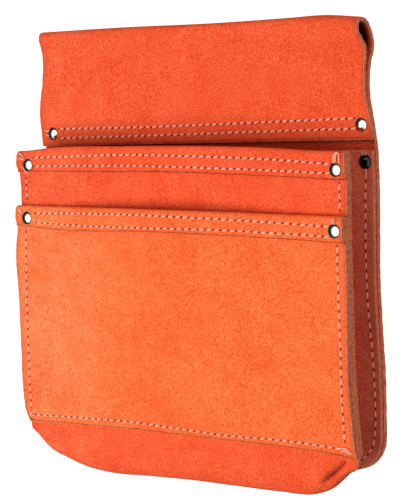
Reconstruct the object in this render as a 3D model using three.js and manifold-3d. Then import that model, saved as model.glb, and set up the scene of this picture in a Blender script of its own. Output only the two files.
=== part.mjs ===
// A carpenter's suede nail and tool pouch, the kind that hangs on a work belt.
// Millimetres. +X runs along the belt, -Y is the front and +Z is up.
// The origin is the middle of the inside top of the belt tunnel, where the belt carries the pouch.
// Pieces are laid out from the back face of the back panel (y = 0) and the top of the tunnel (z = 0),
// and the whole group is moved to the origin at the end.

import * as THREE from 'three';
import { mergeVertices } from 'three/addons/utils/BufferGeometryUtils.js';
import Module from 'manifold-3d';

// The leather and how its layers lie on each other.
const leather = 3;
const layerGap = 0.3;
const layerStep = leather + layerGap;

// The back panel, whose upper end rolls forward over the belt and is sewn down as a flap.
const panelWidth = 290;
const pouchDrop = 302;
const cornerRadius = 26;
const tunnelDrop = 72;
const flapLap = 9;
const rollDepth = 15.5;
const rollTaper = 3;
const flapSlant = 2.4;

// The main pocket.
const mouthDrop = 86;
const mouthRise = 3;
const leftTaper = 2.7;
const mainHem = 19;
const pocketDepth = 32;
const depthSwell = 3.5;
const frontBow = 2.5;
const frontEndDrop = 286;
const troughSag = 30;
const rearFlange = 11;

// The small pocket on the front of it.
const smallMouthDrop = 127;
const smallMouthRise = 1.5;
const smallMouthSlant = -2.9;
const smallHem = 18;
const smallMouthBow = 8;

// The side gussets: leather strips folded like a C that opens outwards.
const gussetInset = 21;
const gussetTopDrop = 89;
const gussetFold = 2.2;
const webBow = 2;
const footReach = 14;
const footGap = 0.2;

// The rivets.
const rivetCapRadius = 4.5;
const rivetTailRadius = 3;
const rivetDome = 2;
const rivetTail = 1;
const rivetPost = 1.75;
const rivetHoleAir = 0.25;
const rivetHoleOverrun = 2;
const rivetSegments = 14;

// Where the rivets sit: in from the side edge, and below the edge of the layer that each one holds.
// They were set by hand, so the two sides differ.
const rivetSeats = [
  { name: 'flap', side: 'left', inset: 10.5, edge: tunnelDrop, below: 2 },
  { name: 'flap', side: 'right', inset: 5.3, edge: tunnelDrop, below: -1 },
  { name: 'main', side: 'left', inset: 12.5, edge: mouthDrop, below: 10.5 },
  { name: 'main', side: 'right', inset: 5.3, edge: mouthDrop, below: 13 },
  { name: 'small', side: 'left', inset: 12.5, edge: smallMouthDrop, below: 8 },
  { name: 'small', side: 'right', inset: 5.3, edge: smallMouthDrop, below: 11 },
  { name: 'rear', side: 'left', inset: 5, edge: gussetTopDrop, below: 7 },
  { name: 'rear', side: 'right', inset: 5, edge: gussetTopDrop, below: 7 },
];

// Middle planes of the flat layers, as y.
const half = panelWidth / 2;
const backY = -leather / 2;
const rearLayerY = backY - layerStep;
const frontLayerY = -pocketDepth - leather / 2;
const flangeY = frontLayerY + layerStep;
const mainHemY = frontLayerY - layerStep;
const smallY = frontLayerY - layerStep;
const smallHemY = smallY - layerStep;

// The roll over the belt, from the back of the tunnel over its crown to the flap.
// forward is a share of rollDepth in front of the back panel's middle plane,
// down is a share of tunnelDrop below the crown.
const rollFold = [
  { forward: 0, down: 0.84 },
  { forward: -0.01, down: 0.54 },
  { forward: -0.09, down: 0.36 },
  { forward: -0.25, down: 0.23 },
  { forward: -0.3, down: 0.12 },
  { forward: -0.09, down: 0.025 },
  { forward: 0.22, down: 0 },
  { forward: 0.53, down: 0.03 },
  { forward: 0.68, down: 0.12 },
  { forward: 0.53, down: 0.22 },
  { forward: 0.33, down: 0.3 },
  { forward: 0.235, down: 0.4 },
];
const rollSteps = 30;
// The flap lies flat on the back panel from this share of tunnelDrop down.
const flapTight = 0.72;

// The bottom of the main pocket, from the front panel's end back to the rear seam.
// back is a share of the way from the front plane to the rear seam,
// down is a share of troughSag below the front panel's end.
const troughFold = [
  { back: 0, down: 0.2 },
  { back: 0.01, down: 0.5 },
  { back: 0.12, down: 0.82 },
  { back: 0.34, down: 1 },
  { back: 0.58, down: 0.95 },
  { back: 0.8, down: 0.68 },
  { back: 0.94, down: 0.38 },
];

// How far the bottom sags across the pouch. across is a share of the half width,
// sag is a share of troughSag. The corners are tucked up, the right one more than the left.
const sagAcross = [
  { across: -1, sag: 0.24 },
  { across: -0.94, sag: 0.56 },
  { across: -0.86, sag: 0.85 },
  { across: -0.74, sag: 1.08 },
  { across: -0.55, sag: 1.12 },
  { across: -0.3, sag: 1.08 },
  { across: 0, sag: 1.02 },
  { across: 0.3, sag: 1.01 },
  { across: 0.55, sag: 1.01 },
  { across: 0.78, sag: 0.93 },
  { across: 0.87, sag: 0.76 },
  { across: 0.94, sag: 0.5 },
  { across: 1, sag: 0.24 },
];

// Heights of the rows of the front layers and the gussets, as shares from mouth to end.
// The small pocket's mouth is one of them, so that the layers bend together below it.
const rowsBelowSmallMouth = 4;
// A row of the front is left out of the gusset when it is closer to the gusset's top than this.
const gussetRowGap = 5;
const gussetBendSteps = 3;
const gussetWebShares = [0.25, 0.5, 0.75];

// Stations of the back panel, as shares of its half width, and its one row between the tunnel and
// the lower corners, as a share of the way down from the tunnel.
const backStations = [-1, -0.6, 0, 0.6, 1];
const backMiddleRow = 0.4;

const leatherColour = 0xe8552e;
const frontColour = 0xf4683a;
const gussetColour = 0xb4401f;
const nickelColour = 0x8f928c;

const leatherFinish = (color) => new THREE.MeshStandardMaterial({ color, roughness: 0.95, metalness: 0 });
const nickelFinish = new THREE.MeshStandardMaterial({ color: nickelColour, roughness: 0.25, metalness: 1 });

const wasm = await Module();
wasm.setup();

const mix = (a, b, share) => a + (b - a) * share;

const smallMouthShare = (smallMouthDrop - mouthDrop) / (frontEndDrop - mouthDrop);
const frontRows = [0, smallMouthShare / 2, smallMouthShare];
for (let row = 1; row <= rowsBelowSmallMouth; row += 1) {
  frontRows.push(mix(smallMouthShare, 1, row / rowsBelowSmallMouth));
}

// A value read from a table of rows by straight lines between them.
function readTable(rows, key, value, at) {
  const next = rows.findIndex((row) => row[key] >= at);
  if (next <= 0) {
    return next === 0 ? rows[0][value] : rows[rows.length - 1][value];
  }
  const a = rows[next - 1];
  const b = rows[next];
  return mix(a[value], b[value], (at - a[key]) / (b[key] - a[key]));
}

// Points of a sewn-down fold: half a turn about (y, z) from one layer to the next.
function hairpin(y, z, startAngle, turn, steps = 4) {
  const points = [];
  for (let step = 0; step <= steps; step += 1) {
    const angle = startAngle + turn * step / steps;
    points.push({ y: y + Math.cos(angle) * layerStep / 2, z: z + Math.sin(angle) * layerStep / 2 });
  }
  return points;
}

// A wall keeps its thickness across a bend up to this cosine of half the bend's angle.
const sharpestMitre = 0.96;
// Corners of triangles that are closer than this are one corner.
const weldDistance = 1e-5;

// A closed wall of even thickness round a grid of points on its middle surface.
// grid[i][j] runs along the piece with i and across its folds with j.
function wall(grid, thickness) {
  const columns = grid.length;
  const rows = grid[0].length;
  const outer = [];
  const inner = [];
  for (let i = 0; i < columns; i += 1) {
    for (let j = 0; j < rows; j += 1) {
      const before = grid[Math.max(i - 1, 0)][j];
      const after = grid[Math.min(i + 1, columns - 1)][j];
      const along = after.clone().sub(before).normalize();
      const faces = [];
      if (j > 0) {
        faces.push(along.clone().cross(grid[i][j].clone().sub(grid[i][j - 1])).normalize());
      }
      if (j < rows - 1) {
        faces.push(along.clone().cross(grid[i][j + 1].clone().sub(grid[i][j])).normalize());
      }
      const normal = faces.reduce((sum, face) => sum.add(face), new THREE.Vector3()).normalize();
      normal.multiplyScalar(thickness / 2 / Math.max(normal.dot(faces[0]), sharpestMitre));
      outer.push(grid[i][j].clone().add(normal));
      inner.push(grid[i][j].clone().sub(normal));
    }
  }
  const points = outer.concat(inner);
  const shift = outer.length;
  const index = [];
  const at = (i, j) => i * rows + j;
  const quad = (a, b, c, d) => index.push(a, b, c, a, c, d);
  for (let i = 0; i < columns - 1; i += 1) {
    for (let j = 0; j < rows - 1; j += 1) {
      quad(at(i, j), at(i + 1, j), at(i + 1, j + 1), at(i, j + 1));
      quad(shift + at(i, j), shift + at(i, j + 1), shift + at(i + 1, j + 1), shift + at(i + 1, j));
    }
    quad(at(i, 0), shift + at(i, 0), shift + at(i + 1, 0), at(i + 1, 0));
    const end = rows - 1;
    quad(at(i, end), at(i + 1, end), shift + at(i + 1, end), shift + at(i, end));
  }
  for (let j = 0; j < rows - 1; j += 1) {
    quad(at(0, j), at(0, j + 1), shift + at(0, j + 1), shift + at(0, j));
    const end = columns - 1;
    quad(at(end, j), shift + at(end, j), shift + at(end, j + 1), at(end, j + 1));
  }
  const geometry = new THREE.BufferGeometry();
  const position = points.flatMap((point) => point.toArray());
  geometry.setAttribute('position', new THREE.Float32BufferAttribute(position, 3));
  geometry.setIndex(index);
  return geometry;
}

// A closed geometry as a solid that can be cut.
function solidOf(geometry) {
  const bare = geometry.clone();
  bare.deleteAttribute('normal');
  bare.deleteAttribute('uv');
  const merged = mergeVertices(bare, weldDistance);
  return new wasm.Manifold(new wasm.Mesh({
    numProp: 3,
    vertProperties: new Float32Array(merged.attributes.position.array),
    triVerts: new Uint32Array(merged.index.array),
  }));
}

function geometryOf(solid) {
  const mesh = solid.getMesh();
  const geometry = new THREE.BufferGeometry();
  geometry.setAttribute('position', new THREE.Float32BufferAttribute(mesh.vertProperties, 3));
  geometry.setIndex(new THREE.Uint32BufferAttribute(mesh.triVerts, 1));
  geometry.computeVertexNormals();
  return geometry;
}

function largestPiece(solid) {
  return solid.decompose().sort((a, b) => b.volume() - a.volume())[0];
}

// Depth of the pocket at a height share from mouth to end: it swells most below the middle.
const swellSkew = 1.9;
const swellRows = frontRows.map((share) => ({
  share,
  swell: depthSwell * Math.sin(Math.PI * share ** swellSkew),
}));
const swellAt = (share) => readTable(swellRows, 'share', 'swell', share);

// Bow of a front layer across the pouch, flat at the sides where the rivets and side stitches are.
const bowReach = 0.86;
const bowAt = (across) => Math.max(1 - (across / bowReach) ** 2, 0) ** 2;

const frontDropAt = (share) => mix(mouthDrop, frontEndDrop, share);
const shareAt = (drop) => (drop - mouthDrop) / (frontEndDrop - mouthDrop);
const frontShift = (across, share) => -swellAt(share) - frontBow * bowAt(across) * (1 - share / 2);

// Stations across the width, as shares of the half width.
const stations = sagAcross.map((row) => row.across);

// Half width of the back panel at a drop below the crown: drawn in a little over the belt and
// round at the two lower corners.
function backHalfAt(drop) {
  const past = Math.max(drop - (pouchDrop - cornerRadius), 0);
  const taper = rollTaper * Math.max(1 - drop / tunnelDrop, 0);
  return half - taper - cornerRadius + Math.sqrt(Math.max(cornerRadius ** 2 - past ** 2, 0));
}

// Half width of the front layers: the left edge leans in towards the mouth.
const frontHalfAt = (side, share) => half - (side < 0 ? leftTaper * (1 - share) : 0);

// Back panel, belt tunnel and flap in one piece of leather.
function backPanel() {
  const profile = [];
  const cornerSteps = 6;
  for (let step = 0; step < cornerSteps; step += 1) {
    const angle = Math.PI / 2 * (1 - step / cornerSteps);
    profile.push({ y: backY, z: -pouchDrop + cornerRadius * (1 - Math.sin(angle)) });
  }
  profile.push({ y: backY, z: -pouchDrop + cornerRadius });
  profile.push({ y: backY, z: -mix(tunnelDrop, pouchDrop, backMiddleRow) });
  const knots = rollFold.map((row) => new THREE.Vector3(
    0, backY - row.forward * rollDepth, -leather / 2 - row.down * tunnelDrop));
  knots.unshift(new THREE.Vector3(0, backY, -tunnelDrop - flapLap));
  knots.push(new THREE.Vector3(0, rearLayerY, -tunnelDrop * flapTight));
  knots.push(new THREE.Vector3(0, rearLayerY, -tunnelDrop - flapLap));
  const roll = new THREE.CatmullRomCurve3(knots, false, 'centripetal');
  const crownStep = rollSteps / 2;
  roll.getSpacedPoints(rollSteps).forEach((point, step) => {
    const slant = flapSlant / 2 * Math.max((step - crownStep) / (rollSteps - crownStep), 0);
    profile.push({ y: point.y, z: point.z, slant });
  });
  const grid = backStations.map((across) => profile.map(({ y, z, slant = 0 }) => (
    new THREE.Vector3(across * backHalfAt(-z), y, z + slant * across))));
  return wall(grid, leather);
}

// One column of a pocket front: up the outside hem from its raw edge, over the fold, down the panel.
// rise lifts the mouth and fades out towards the panel's end, shiftAt moves the layer forward.
function frontColumn({ across, mouth, rise, hem, layerY, shiftAt }) {
  const foldDepth = (leather + layerStep) / 2;
  const panel = [{ drop: mouth + foldDepth, shift: shiftAt(shareAt(mouth)) }];
  for (const share of frontRows) {
    if (frontDropAt(share) > mouth + 2 * foldDepth) {
      panel.push({ drop: frontDropAt(share), shift: shiftAt(share) });
    }
  }
  const hemEnd = { drop: mouth + hem, shift: readTable(panel, 'drop', 'shift', mouth + hem) };
  const hemRows = [hemEnd, ...panel.slice(1).filter((row) => row.drop < hemEnd.drop).reverse()];
  const point = (y, drop, z) => new THREE.Vector3(
    across * frontHalfAt(across, shareAt(drop)), y, z + rise * (frontEndDrop - drop) / (frontEndDrop - mouth));
  const fold = hairpin(layerY - layerStep / 2 + panel[0].shift, -panel[0].drop, Math.PI, -Math.PI);
  return [
    ...hemRows.map(({ drop, shift }) => point(layerY - layerStep + shift, drop, -drop)),
    ...fold.map(({ y, z }) => point(y, mouth, z)),
    ...panel.slice(1).map(({ drop, shift }) => point(layerY + shift, drop, -drop)),
  ];
}

// Main pocket: outside hem, front panel, sagging bottom and the flange sewn to the back panel.
function mainPocket(thickness) {
  const seamY = rearLayerY - layerStep;
  const seamHalf = half - cornerRadius - layerGap;
  const seamZ = -pouchDrop + rearFlange - (leather + layerStep) / 2;
  const grid = stations.map((across) => {
    const column = frontColumn({
      across,
      mouth: mouthDrop,
      rise: mouthRise * bowAt(across),
      hem: mainHem,
      layerY: frontLayerY,
      shiftAt: (share) => frontShift(across, share),
    });
    const endY = frontLayerY + frontShift(across, 1);
    const sag = readTable(sagAcross, 'across', 'sag', across);
    for (const { back, down } of troughFold) {
      const level = mix(-frontEndDrop, seamZ, back);
      const sunk = -frontEndDrop - down * troughSag;
      column.push(new THREE.Vector3(
        across * mix(half, seamHalf, back), mix(endY, seamY, back), mix(level, sunk, sag)));
    }
    for (const { y, z } of hairpin((seamY + rearLayerY) / 2, seamZ, Math.PI, -Math.PI)) {
      column.push(new THREE.Vector3(across * seamHalf, y, z));
    }
    column.push(new THREE.Vector3(across * seamHalf, rearLayerY, -pouchDrop));
    return column;
  });
  return wall(grid, thickness);
}

// Small pocket: outside hem and a front panel sewn flat to the main pocket at its sides and end.
function smallPocket() {
  const grid = stations.map((across) => frontColumn({
    across,
    mouth: smallMouthDrop,
    rise: smallMouthRise * bowAt(across) + smallMouthSlant / 2 * across,
    hem: smallHem,
    layerY: smallY,
    shiftAt: (share) => frontShift(across, share)
      - smallMouthBow * bowAt(across) * (1 - share) / (1 - smallMouthShare),
  }));
  return wall(grid, leather);
}

// A gusset: front flange, recessed web and rear flange, whose rear edge follows the back panel's
// outline round the lower corner while its front edge runs down with the front panel.
function gusset(side) {
  const cornerSteps = 5;
  const straightEnd = pouchDrop - cornerRadius;
  const rows = frontRows.filter((share) => frontDropAt(share) > gussetTopDrop + gussetRowGap);
  const frontShares = [(gussetTopDrop - mouthDrop) / (frontEndDrop - mouthDrop), ...rows.slice(0, -1)];
  const sections = frontShares.map((share) => ({
    share,
    edge: { x: half, drop: Math.min(frontDropAt(share), straightEnd) },
    inward: { x: -1, z: 0 },
  }));
  for (let step = 0; step <= cornerSteps; step += 1) {
    const angle = Math.PI / 2 * step / cornerSteps;
    sections.push({
      share: mix(rows[rows.length - 2], 1, (step + 1) / (cornerSteps + 1)),
      edge: {
        x: half - cornerRadius + cornerRadius * Math.cos(angle),
        drop: straightEnd + cornerRadius * Math.sin(angle),
      },
      inward: { x: -Math.cos(angle), z: Math.sin(angle) },
    });
  }
  const grid = sections.map(({ share, edge, inward }) => {
    const frontY = flangeY - swellAt(share);
    const frontZ = -frontDropAt(share);
    const foot = share === 1 ? footReach : 0;
    const a = new THREE.Vector3(frontHalfAt(side, share), frontY, frontZ);
    const b = new THREE.Vector3(half - gussetInset, frontY, frontZ);
    const d = new THREE.Vector3(edge.x, rearLayerY, -edge.drop);
    const c = new THREE.Vector3(
      edge.x + inward.x * gussetInset, rearLayerY, -edge.drop + inward.z * gussetInset);
    const bFlange = b.clone().add(new THREE.Vector3(gussetFold, 0, 0));
    const bWeb = b.clone().add(new THREE.Vector3(0, gussetFold, 0));
    const cWeb = c.clone().add(new THREE.Vector3(0, -gussetFold, 0));
    const cFlange = c.clone().lerp(d, gussetFold / gussetInset);
    const column = [a, bFlange];
    const bend = (from, corner, to) => {
      const curve = new THREE.QuadraticBezierCurve3(from, corner, to);
      column.push(...curve.getPoints(gussetBendSteps).slice(1));
    };
    bend(bFlange, b, bWeb);
    for (const along of gussetWebShares) {
      const point = bWeb.clone().lerp(cWeb, along);
      const arch = Math.sin(Math.PI * along);
      point.x -= webBow * arch;
      point.z -= foot * arch;
      column.push(point);
    }
    column.push(cWeb);
    bend(cWeb, c, cFlange);
    column.push(d);
    return column.map((point) => new THREE.Vector3(side * point.x, point.y, point.z));
  });
  return wall(side > 0 ? grid : grid.reverse(), leather);
}

// A rivet: domed cap on the front, post, and a plain flat cap behind, turned about +Y.
function rivet(stack) {
  const profile = [];
  const domeSteps = 4;
  for (let step = 0; step <= domeSteps; step += 1) {
    const angle = Math.PI / 2 * step / domeSteps;
    profile.push([rivetCapRadius * Math.sin(angle), stack / 2 + layerGap + rivetDome * Math.cos(angle)]);
  }
  profile.push([rivetPost, stack / 2 + layerGap]);
  profile.push([rivetPost, -stack / 2 - layerGap]);
  profile.push([rivetTailRadius, -stack / 2 - layerGap]);
  profile.push([rivetTailRadius, -stack / 2 - layerGap - rivetTail]);
  profile.push([0, -stack / 2 - layerGap - rivetTail]);
  const points = profile.reverse().map(([radius, height]) => new THREE.Vector2(radius, height));
  return new THREE.LatheGeometry(points, rivetSegments);
}

// The layers that each rivet clamps, from its front face to its back face.
const layersAt = {
  flap: { front: rearLayerY - leather / 2, back: backY + leather / 2 },
  main: { front: mainHemY - leather / 2, back: flangeY + leather / 2 },
  small: { front: smallHemY - leather / 2, back: flangeY + leather / 2 },
};
layersAt.rear = layersAt.flap;
const sides = [{ name: 'left', sign: -1 }, { name: 'right', sign: 1 }];
const rivetPlaces = rivetSeats.map((seat) => {
  const { sign } = sides.find((side) => side.name === seat.side);
  const { front, back } = layersAt[seat.name];
  const drop = seat.edge + seat.below;
  const share = shareAt(drop);
  const onFront = layersAt[seat.name] !== layersAt.flap;
  const edge = onFront ? frontHalfAt(sign, share) : half;
  const forward = onFront ? swellAt(share) : 0;
  return {
    name: `rivet_${seat.name}_${seat.side}`,
    stack: back - front,
    position: new THREE.Vector3(sign * (edge - seat.inset), (front + back) / 2 - forward, -drop),
  };
});

const punch = rivetPlaces.map(({ stack, position }) => {
  const radius = rivetPost + rivetHoleAir;
  const hole = new THREE.CylinderGeometry(radius, radius, stack + 2 * rivetHoleOverrun, rivetSegments);
  hole.translate(position.x, position.y, position.z);
  return solidOf(hole);
}).reduce((all, hole) => all.add(hole));

const pouch = new THREE.Group();

function addPiece(name, geometry, material) {
  const mesh = new THREE.Mesh(geometry, material);
  mesh.name = name;
  pouch.add(mesh);
  return mesh;
}

const thickPocket = solidOf(mainPocket(leather + 2 * footGap));
const clearOfPocket = sides.reduce(
  (all, side) => all.add(thickPocket.translate(side.sign * layerGap, 0, 0)), thickPocket);
addPiece('back_panel', geometryOf(solidOf(backPanel()).subtract(punch)), leatherFinish(leatherColour));
addPiece('main_pocket', geometryOf(solidOf(mainPocket(leather)).subtract(punch)), leatherFinish(leatherColour));
addPiece('small_pocket', geometryOf(solidOf(smallPocket()).subtract(punch)), leatherFinish(frontColour));
for (const side of sides) {
  const strip = largestPiece(solidOf(gusset(side.sign)).subtract(clearOfPocket).subtract(punch));
  addPiece(`gusset_${side.name}`, geometryOf(strip), leatherFinish(gussetColour));
}
for (const place of rivetPlaces) {
  const mesh = addPiece(place.name, rivet(place.stack), nickelFinish);
  mesh.position.copy(place.position);
  mesh.rotation.x = Math.PI;
}

const crown = rollFold.find((row) => row.down === 0);
pouch.position.set(0, -(backY - crown.forward * rollDepth), leather);

export default pouch;
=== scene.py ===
# %% [markdown]
# # A suede nail and tool pouch for a work belt
# The pouch is cut from thick suede: a back panel whose upper end rolls over the belt, a deep
# pocket with a sagging bottom, a flat pocket on the front of that, and a folded strip at each
# side. Rows of pale thread and eight nickel rivets hold it together.
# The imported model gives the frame: plain walls at the right size. Here each wall gets its own
# dense mesh, built from the same sizes, so that hems, edges, stitches and dents can show.

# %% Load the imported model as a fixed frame
import math

import bpy
import numpy as np
from mathutils import Matrix, Vector
from mathutils.bvhtree import BVHTree


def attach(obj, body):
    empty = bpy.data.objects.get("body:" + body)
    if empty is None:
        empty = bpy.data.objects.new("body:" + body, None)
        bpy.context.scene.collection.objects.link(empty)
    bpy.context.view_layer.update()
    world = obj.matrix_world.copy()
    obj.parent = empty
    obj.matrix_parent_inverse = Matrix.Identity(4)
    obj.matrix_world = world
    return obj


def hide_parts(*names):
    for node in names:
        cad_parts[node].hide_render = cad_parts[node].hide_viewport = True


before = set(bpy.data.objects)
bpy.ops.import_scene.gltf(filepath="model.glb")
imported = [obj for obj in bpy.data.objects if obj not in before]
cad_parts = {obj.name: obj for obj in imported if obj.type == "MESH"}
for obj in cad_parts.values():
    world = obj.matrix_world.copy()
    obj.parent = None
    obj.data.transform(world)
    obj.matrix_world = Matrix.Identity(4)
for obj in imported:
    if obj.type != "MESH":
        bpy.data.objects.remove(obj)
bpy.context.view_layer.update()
print("packed pieces:", len(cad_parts))

# %% [markdown]
# ## The sizes that everything is laid out from
# The pouch is laid out in millimetres from the back face of the back panel (y = 0) and the top
# of the belt tunnel (drop = 0, so that z = -drop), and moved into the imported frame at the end.
# Working in the maker's own millimetres keeps every number readable: a row of stitches is
# "71 mm down" and not a fraction of a metre.

# %% Leather, panels and pockets, in millimetres
leather = 3.0
layer_gap = 0.3
layer_step = leather + layer_gap
panel_half = 145.0
pouch_drop = 302.0
corner_radius = 22.5
tunnel_drop = 72.0
flap_lap = 10.6
flap_slant = 3.2
roll_depth = 15.5
crown_forward = 0.22
pocket_depth = 32.0
mouth_drop = 86.0
front_end_drop = 286.0
small_mouth_drop = 127.0
trough_sag = 30.0
rear_flange = 11.0

back_y = -leather / 2
rear_layer_y = back_y - layer_step
front_layer_y = -pocket_depth - leather / 2
flange_y = front_layer_y + layer_step
small_y = front_layer_y - layer_step

metres = 0.001
frame_shift = np.array([0.0, crown_forward * roll_depth - back_y, leather])


def to_frame(points):
    """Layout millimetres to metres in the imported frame."""
    return (np.asarray(points, float) + frame_shift) * metres


# %% [markdown]
# ## Reading short tables by a smooth curve
# A hand-cut edge or a rolled fold has no formula. A few measured rows and a smooth curve through
# them give a line that a person can still read and change. The curve here is a cubic through
# each pair of rows, with the slope at a row taken from its two neighbours.


# %% Smooth curves through a few rows
fine_steps = 40


def smooth_read(rows, key, value, at):
    """A value read from a table of rows by a smooth curve through them."""
    xs = np.array([row[key] for row in rows], float)
    ys = np.array([row[value] for row in rows], float)
    slopes = np.gradient(ys, xs)
    at = np.clip(at, xs[0], xs[-1])
    k = np.clip(np.searchsorted(xs, at, side="right") - 1, 0, len(xs) - 2)
    step = xs[k + 1] - xs[k]
    t = (at - xs[k]) / step
    start = ys[k] * (2 * t**3 - 3 * t**2 + 1) + ys[k + 1] * (3 * t**2 - 2 * t**3)
    turn = slopes[k] * (t**3 - 2 * t**2 + t) + slopes[k + 1] * (t**3 - t**2)
    return start + step * turn


def smooth_line(knots, spacing):
    """Evenly spaced points on a smooth curve through the knots."""
    knots = np.array(knots, float)
    chord = np.linalg.norm(np.diff(knots, axis=0), axis=1)
    at = np.concatenate([[0.0], np.cumsum(np.sqrt(chord))])
    fine = np.linspace(0, at[-1], fine_steps * len(knots))
    columns = []
    for axis in range(knots.shape[1]):
        rows = [{"at": a, "value": v} for a, v in zip(at, knots[:, axis])]
        columns.append(smooth_read(rows, "at", "value", fine))
    points = np.stack(columns, axis=1)
    run = np.concatenate([[0.0], np.cumsum(np.linalg.norm(np.diff(points, axis=0), axis=1))])
    wanted = np.linspace(0, run[-1], max(int(round(run[-1] / spacing)), 1) + 1)
    return np.stack([np.interp(wanted, run, column) for column in points.T], axis=1)


def mix(a, b, share):
    """The value a share of the way from a to b."""
    return a + (b - a) * share


print("halfway between two rows:", smooth_read([{"a": 0, "b": 0}, {"a": 1, "b": 2}], "a", "b", 0.5))

# %% [markdown]
# ## How the leather lies
# Suede never lies dead flat. Two sets of slow waves, one for the front layers and one for the
# back ones, move a stack's layers by the same amount, so that they stay on each other. Each row of
# stitches and each rivet pulls the leather in a little: that is a dent that fades with distance.
# A cloth simulation could find such forms by itself, but it would also move the outline that was
# measured in the photograph. Waves and dents keep the outline where it is.


# %% Slow waves in the leather
def drape(x, z, waves):
    """Sum of slow waves in millimetres. Each wave has a height, two lengths and a phase."""
    total = np.zeros(np.broadcast(x, z).shape)
    for wave in waves:
        angle = 2 * math.pi * (x / wave["across"] + z / wave["down"]) + wave["phase"]
        total = total + wave["height"] * np.sin(angle)
    return total


front_waves = [
    {"height": 0.45, "across": 170, "down": 420, "phase": 0.6},
    {"height": 0.30, "across": -95, "down": 210, "phase": 2.1},
    {"height": 0.16, "across": 61, "down": -83, "phase": 4.0},
]
back_waves = [
    {"height": 0.40, "across": 210, "down": 350, "phase": 1.2},
    {"height": 0.22, "across": -88, "down": 140, "phase": 3.3},
]


def distance_to(x, z, line):
    """Distance of every grid point to a line of points, all in the plane of the front."""
    nearest = np.full(x.shape, np.inf)
    for px, pz in line:
        nearest = np.minimum(nearest, (x - px) ** 2 + (z - pz) ** 2)
    return np.sqrt(nearest)


def pull_in(grid, lines, depth, width):
    """Push a sheet back along +Y where thread or a rivet pulls it in."""
    for line in lines:
        near = np.exp(-((distance_to(grid[..., 0], grid[..., 2], line) / width) ** 2))
        grid[..., 1] += depth * near


middle_wave = drape(np.array(0.0), np.array(-200.0), front_waves)
print("front wave at the middle, mm:", round(float(middle_wave), 2))

# %% [markdown]
# ## Where the thread and the rivets are
# The seams are set out before the leather, because the leather is pulled in along them. Each row
# is a few points along its way, as a sewer would chalk it: x from the middle, drop from the top
# of the tunnel. The rows could be curves drawn in Blender's window, but a table of points is
# easier to compare with the photograph and to change.

# %% Rows of stitches across the pouch, in millimetres
flap_rows = [
    [
        {"x": -129, "drop": 72.0}, {"x": -40, "drop": 71.4},
        {"x": 48, "drop": 69.6}, {"x": 133, "drop": 67.6},
    ],
    [
        {"x": -129, "drop": 78.9}, {"x": -41, "drop": 77.6},
        {"x": 48, "drop": 75.9}, {"x": 135, "drop": 74.3},
    ],
]
main_rows = [
    [
        {"x": -126, "drop": 91.1}, {"x": -31, "drop": 88.9},
        {"x": 80, "drop": 91.8}, {"x": 135, "drop": 95.1},
    ],
    [
        {"x": -126, "drop": 97.2}, {"x": -31, "drop": 96.4},
        {"x": 55, "drop": 98.3}, {"x": 135, "drop": 101.0},
    ],
]
small_rows = [
    [
        {"x": -123, "drop": 131.1}, {"x": -24, "drop": 129.4},
        {"x": 36, "drop": 130.6}, {"x": 135, "drop": 135.1},
    ],
    [
        {"x": -123, "drop": 137.6}, {"x": -86, "drop": 138.6},
        {"x": 36, "drop": 138.3}, {"x": 135, "drop": 141.6},
    ],
]
bottom_row = [
    {"x": -137, "drop": 281.0}, {"x": -72, "drop": 278.6}, {"x": -34, "drop": 278.2},
    {"x": 40, "drop": 279.8}, {"x": 103, "drop": 279.2}, {"x": 135, "drop": 280.6},
]
print("rows across the front:", len(flap_rows) + len(main_rows) + len(small_rows) + 1)

# %% Rows down the sides and behind
left_side_rows = [
    [{"x": -137.5, "drop": 106}, {"x": -136.5, "drop": 121}],
    [{"x": -136.0, "drop": 145}, {"x": -136.2, "drop": 217}, {"x": -139.4, "drop": 276}],
]
right_side_rows = [
    [{"x": 138.8, "drop": 107}, {"x": 139.0, "drop": 125}],
    [
        {"x": 138.6, "drop": 147}, {"x": 138.8, "drop": 182},
        {"x": 139.8, "drop": 214}, {"x": 138.6, "drop": 275},
    ],
]
rear_side_row = [
    {"x": 140.4, "drop": 102}, {"x": 138.4, "drop": 150},
    {"x": 138.2, "drop": 190}, {"x": 140.0, "drop": 218},
    {"x": 141.2, "drop": 250}, {"x": 140.6, "drop": 274},
    {"x": 137.4, "drop": 287}, {"x": 129.0, "drop": 294.5},
]
rear_bottom_row = [{"x": -117, "drop": 297.0}, {"x": 0, "drop": 297.6}, {"x": 117, "drop": 297.0}]
stitch_pitch = 6.0
rear_pitch = 6.5
print("rows down the sides:", len(left_side_rows) + len(right_side_rows))

# %% Where the rivets go
rivet_places = [
    {"name": "flap", "side": "left", "x": -135.1, "drop": 75.4},
    {"name": "flap", "side": "right", "x": 138.0, "drop": 71.8},
    {"name": "main", "side": "left", "x": -132.3, "drop": 96.2},
    {"name": "main", "side": "right", "x": 138.1, "drop": 98.8},
    {"name": "small", "side": "left", "x": -131.9, "drop": 134.6},
    {"name": "small", "side": "right", "x": 138.1, "drop": 137.8},
    {"name": "rear", "side": "left", "x": -140.0, "drop": 96.0},
    {"name": "rear", "side": "right", "x": 140.0, "drop": 96.0},
]


def rivet_line(name):
    """The centres of the rivets of one name, each as a line of one point."""
    return [[(place["x"], -place["drop"])] for place in rivet_places if place["name"] == name]


print("rivets through the flap:", len(rivet_line("flap")))


# %% Read each row as a line, to pull the leather in along it
def row_line(row, spacing):
    """Points of a row of stitches as x and z, evenly spaced."""
    return smooth_line([(point["x"], -point["drop"]) for point in row], spacing)


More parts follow.
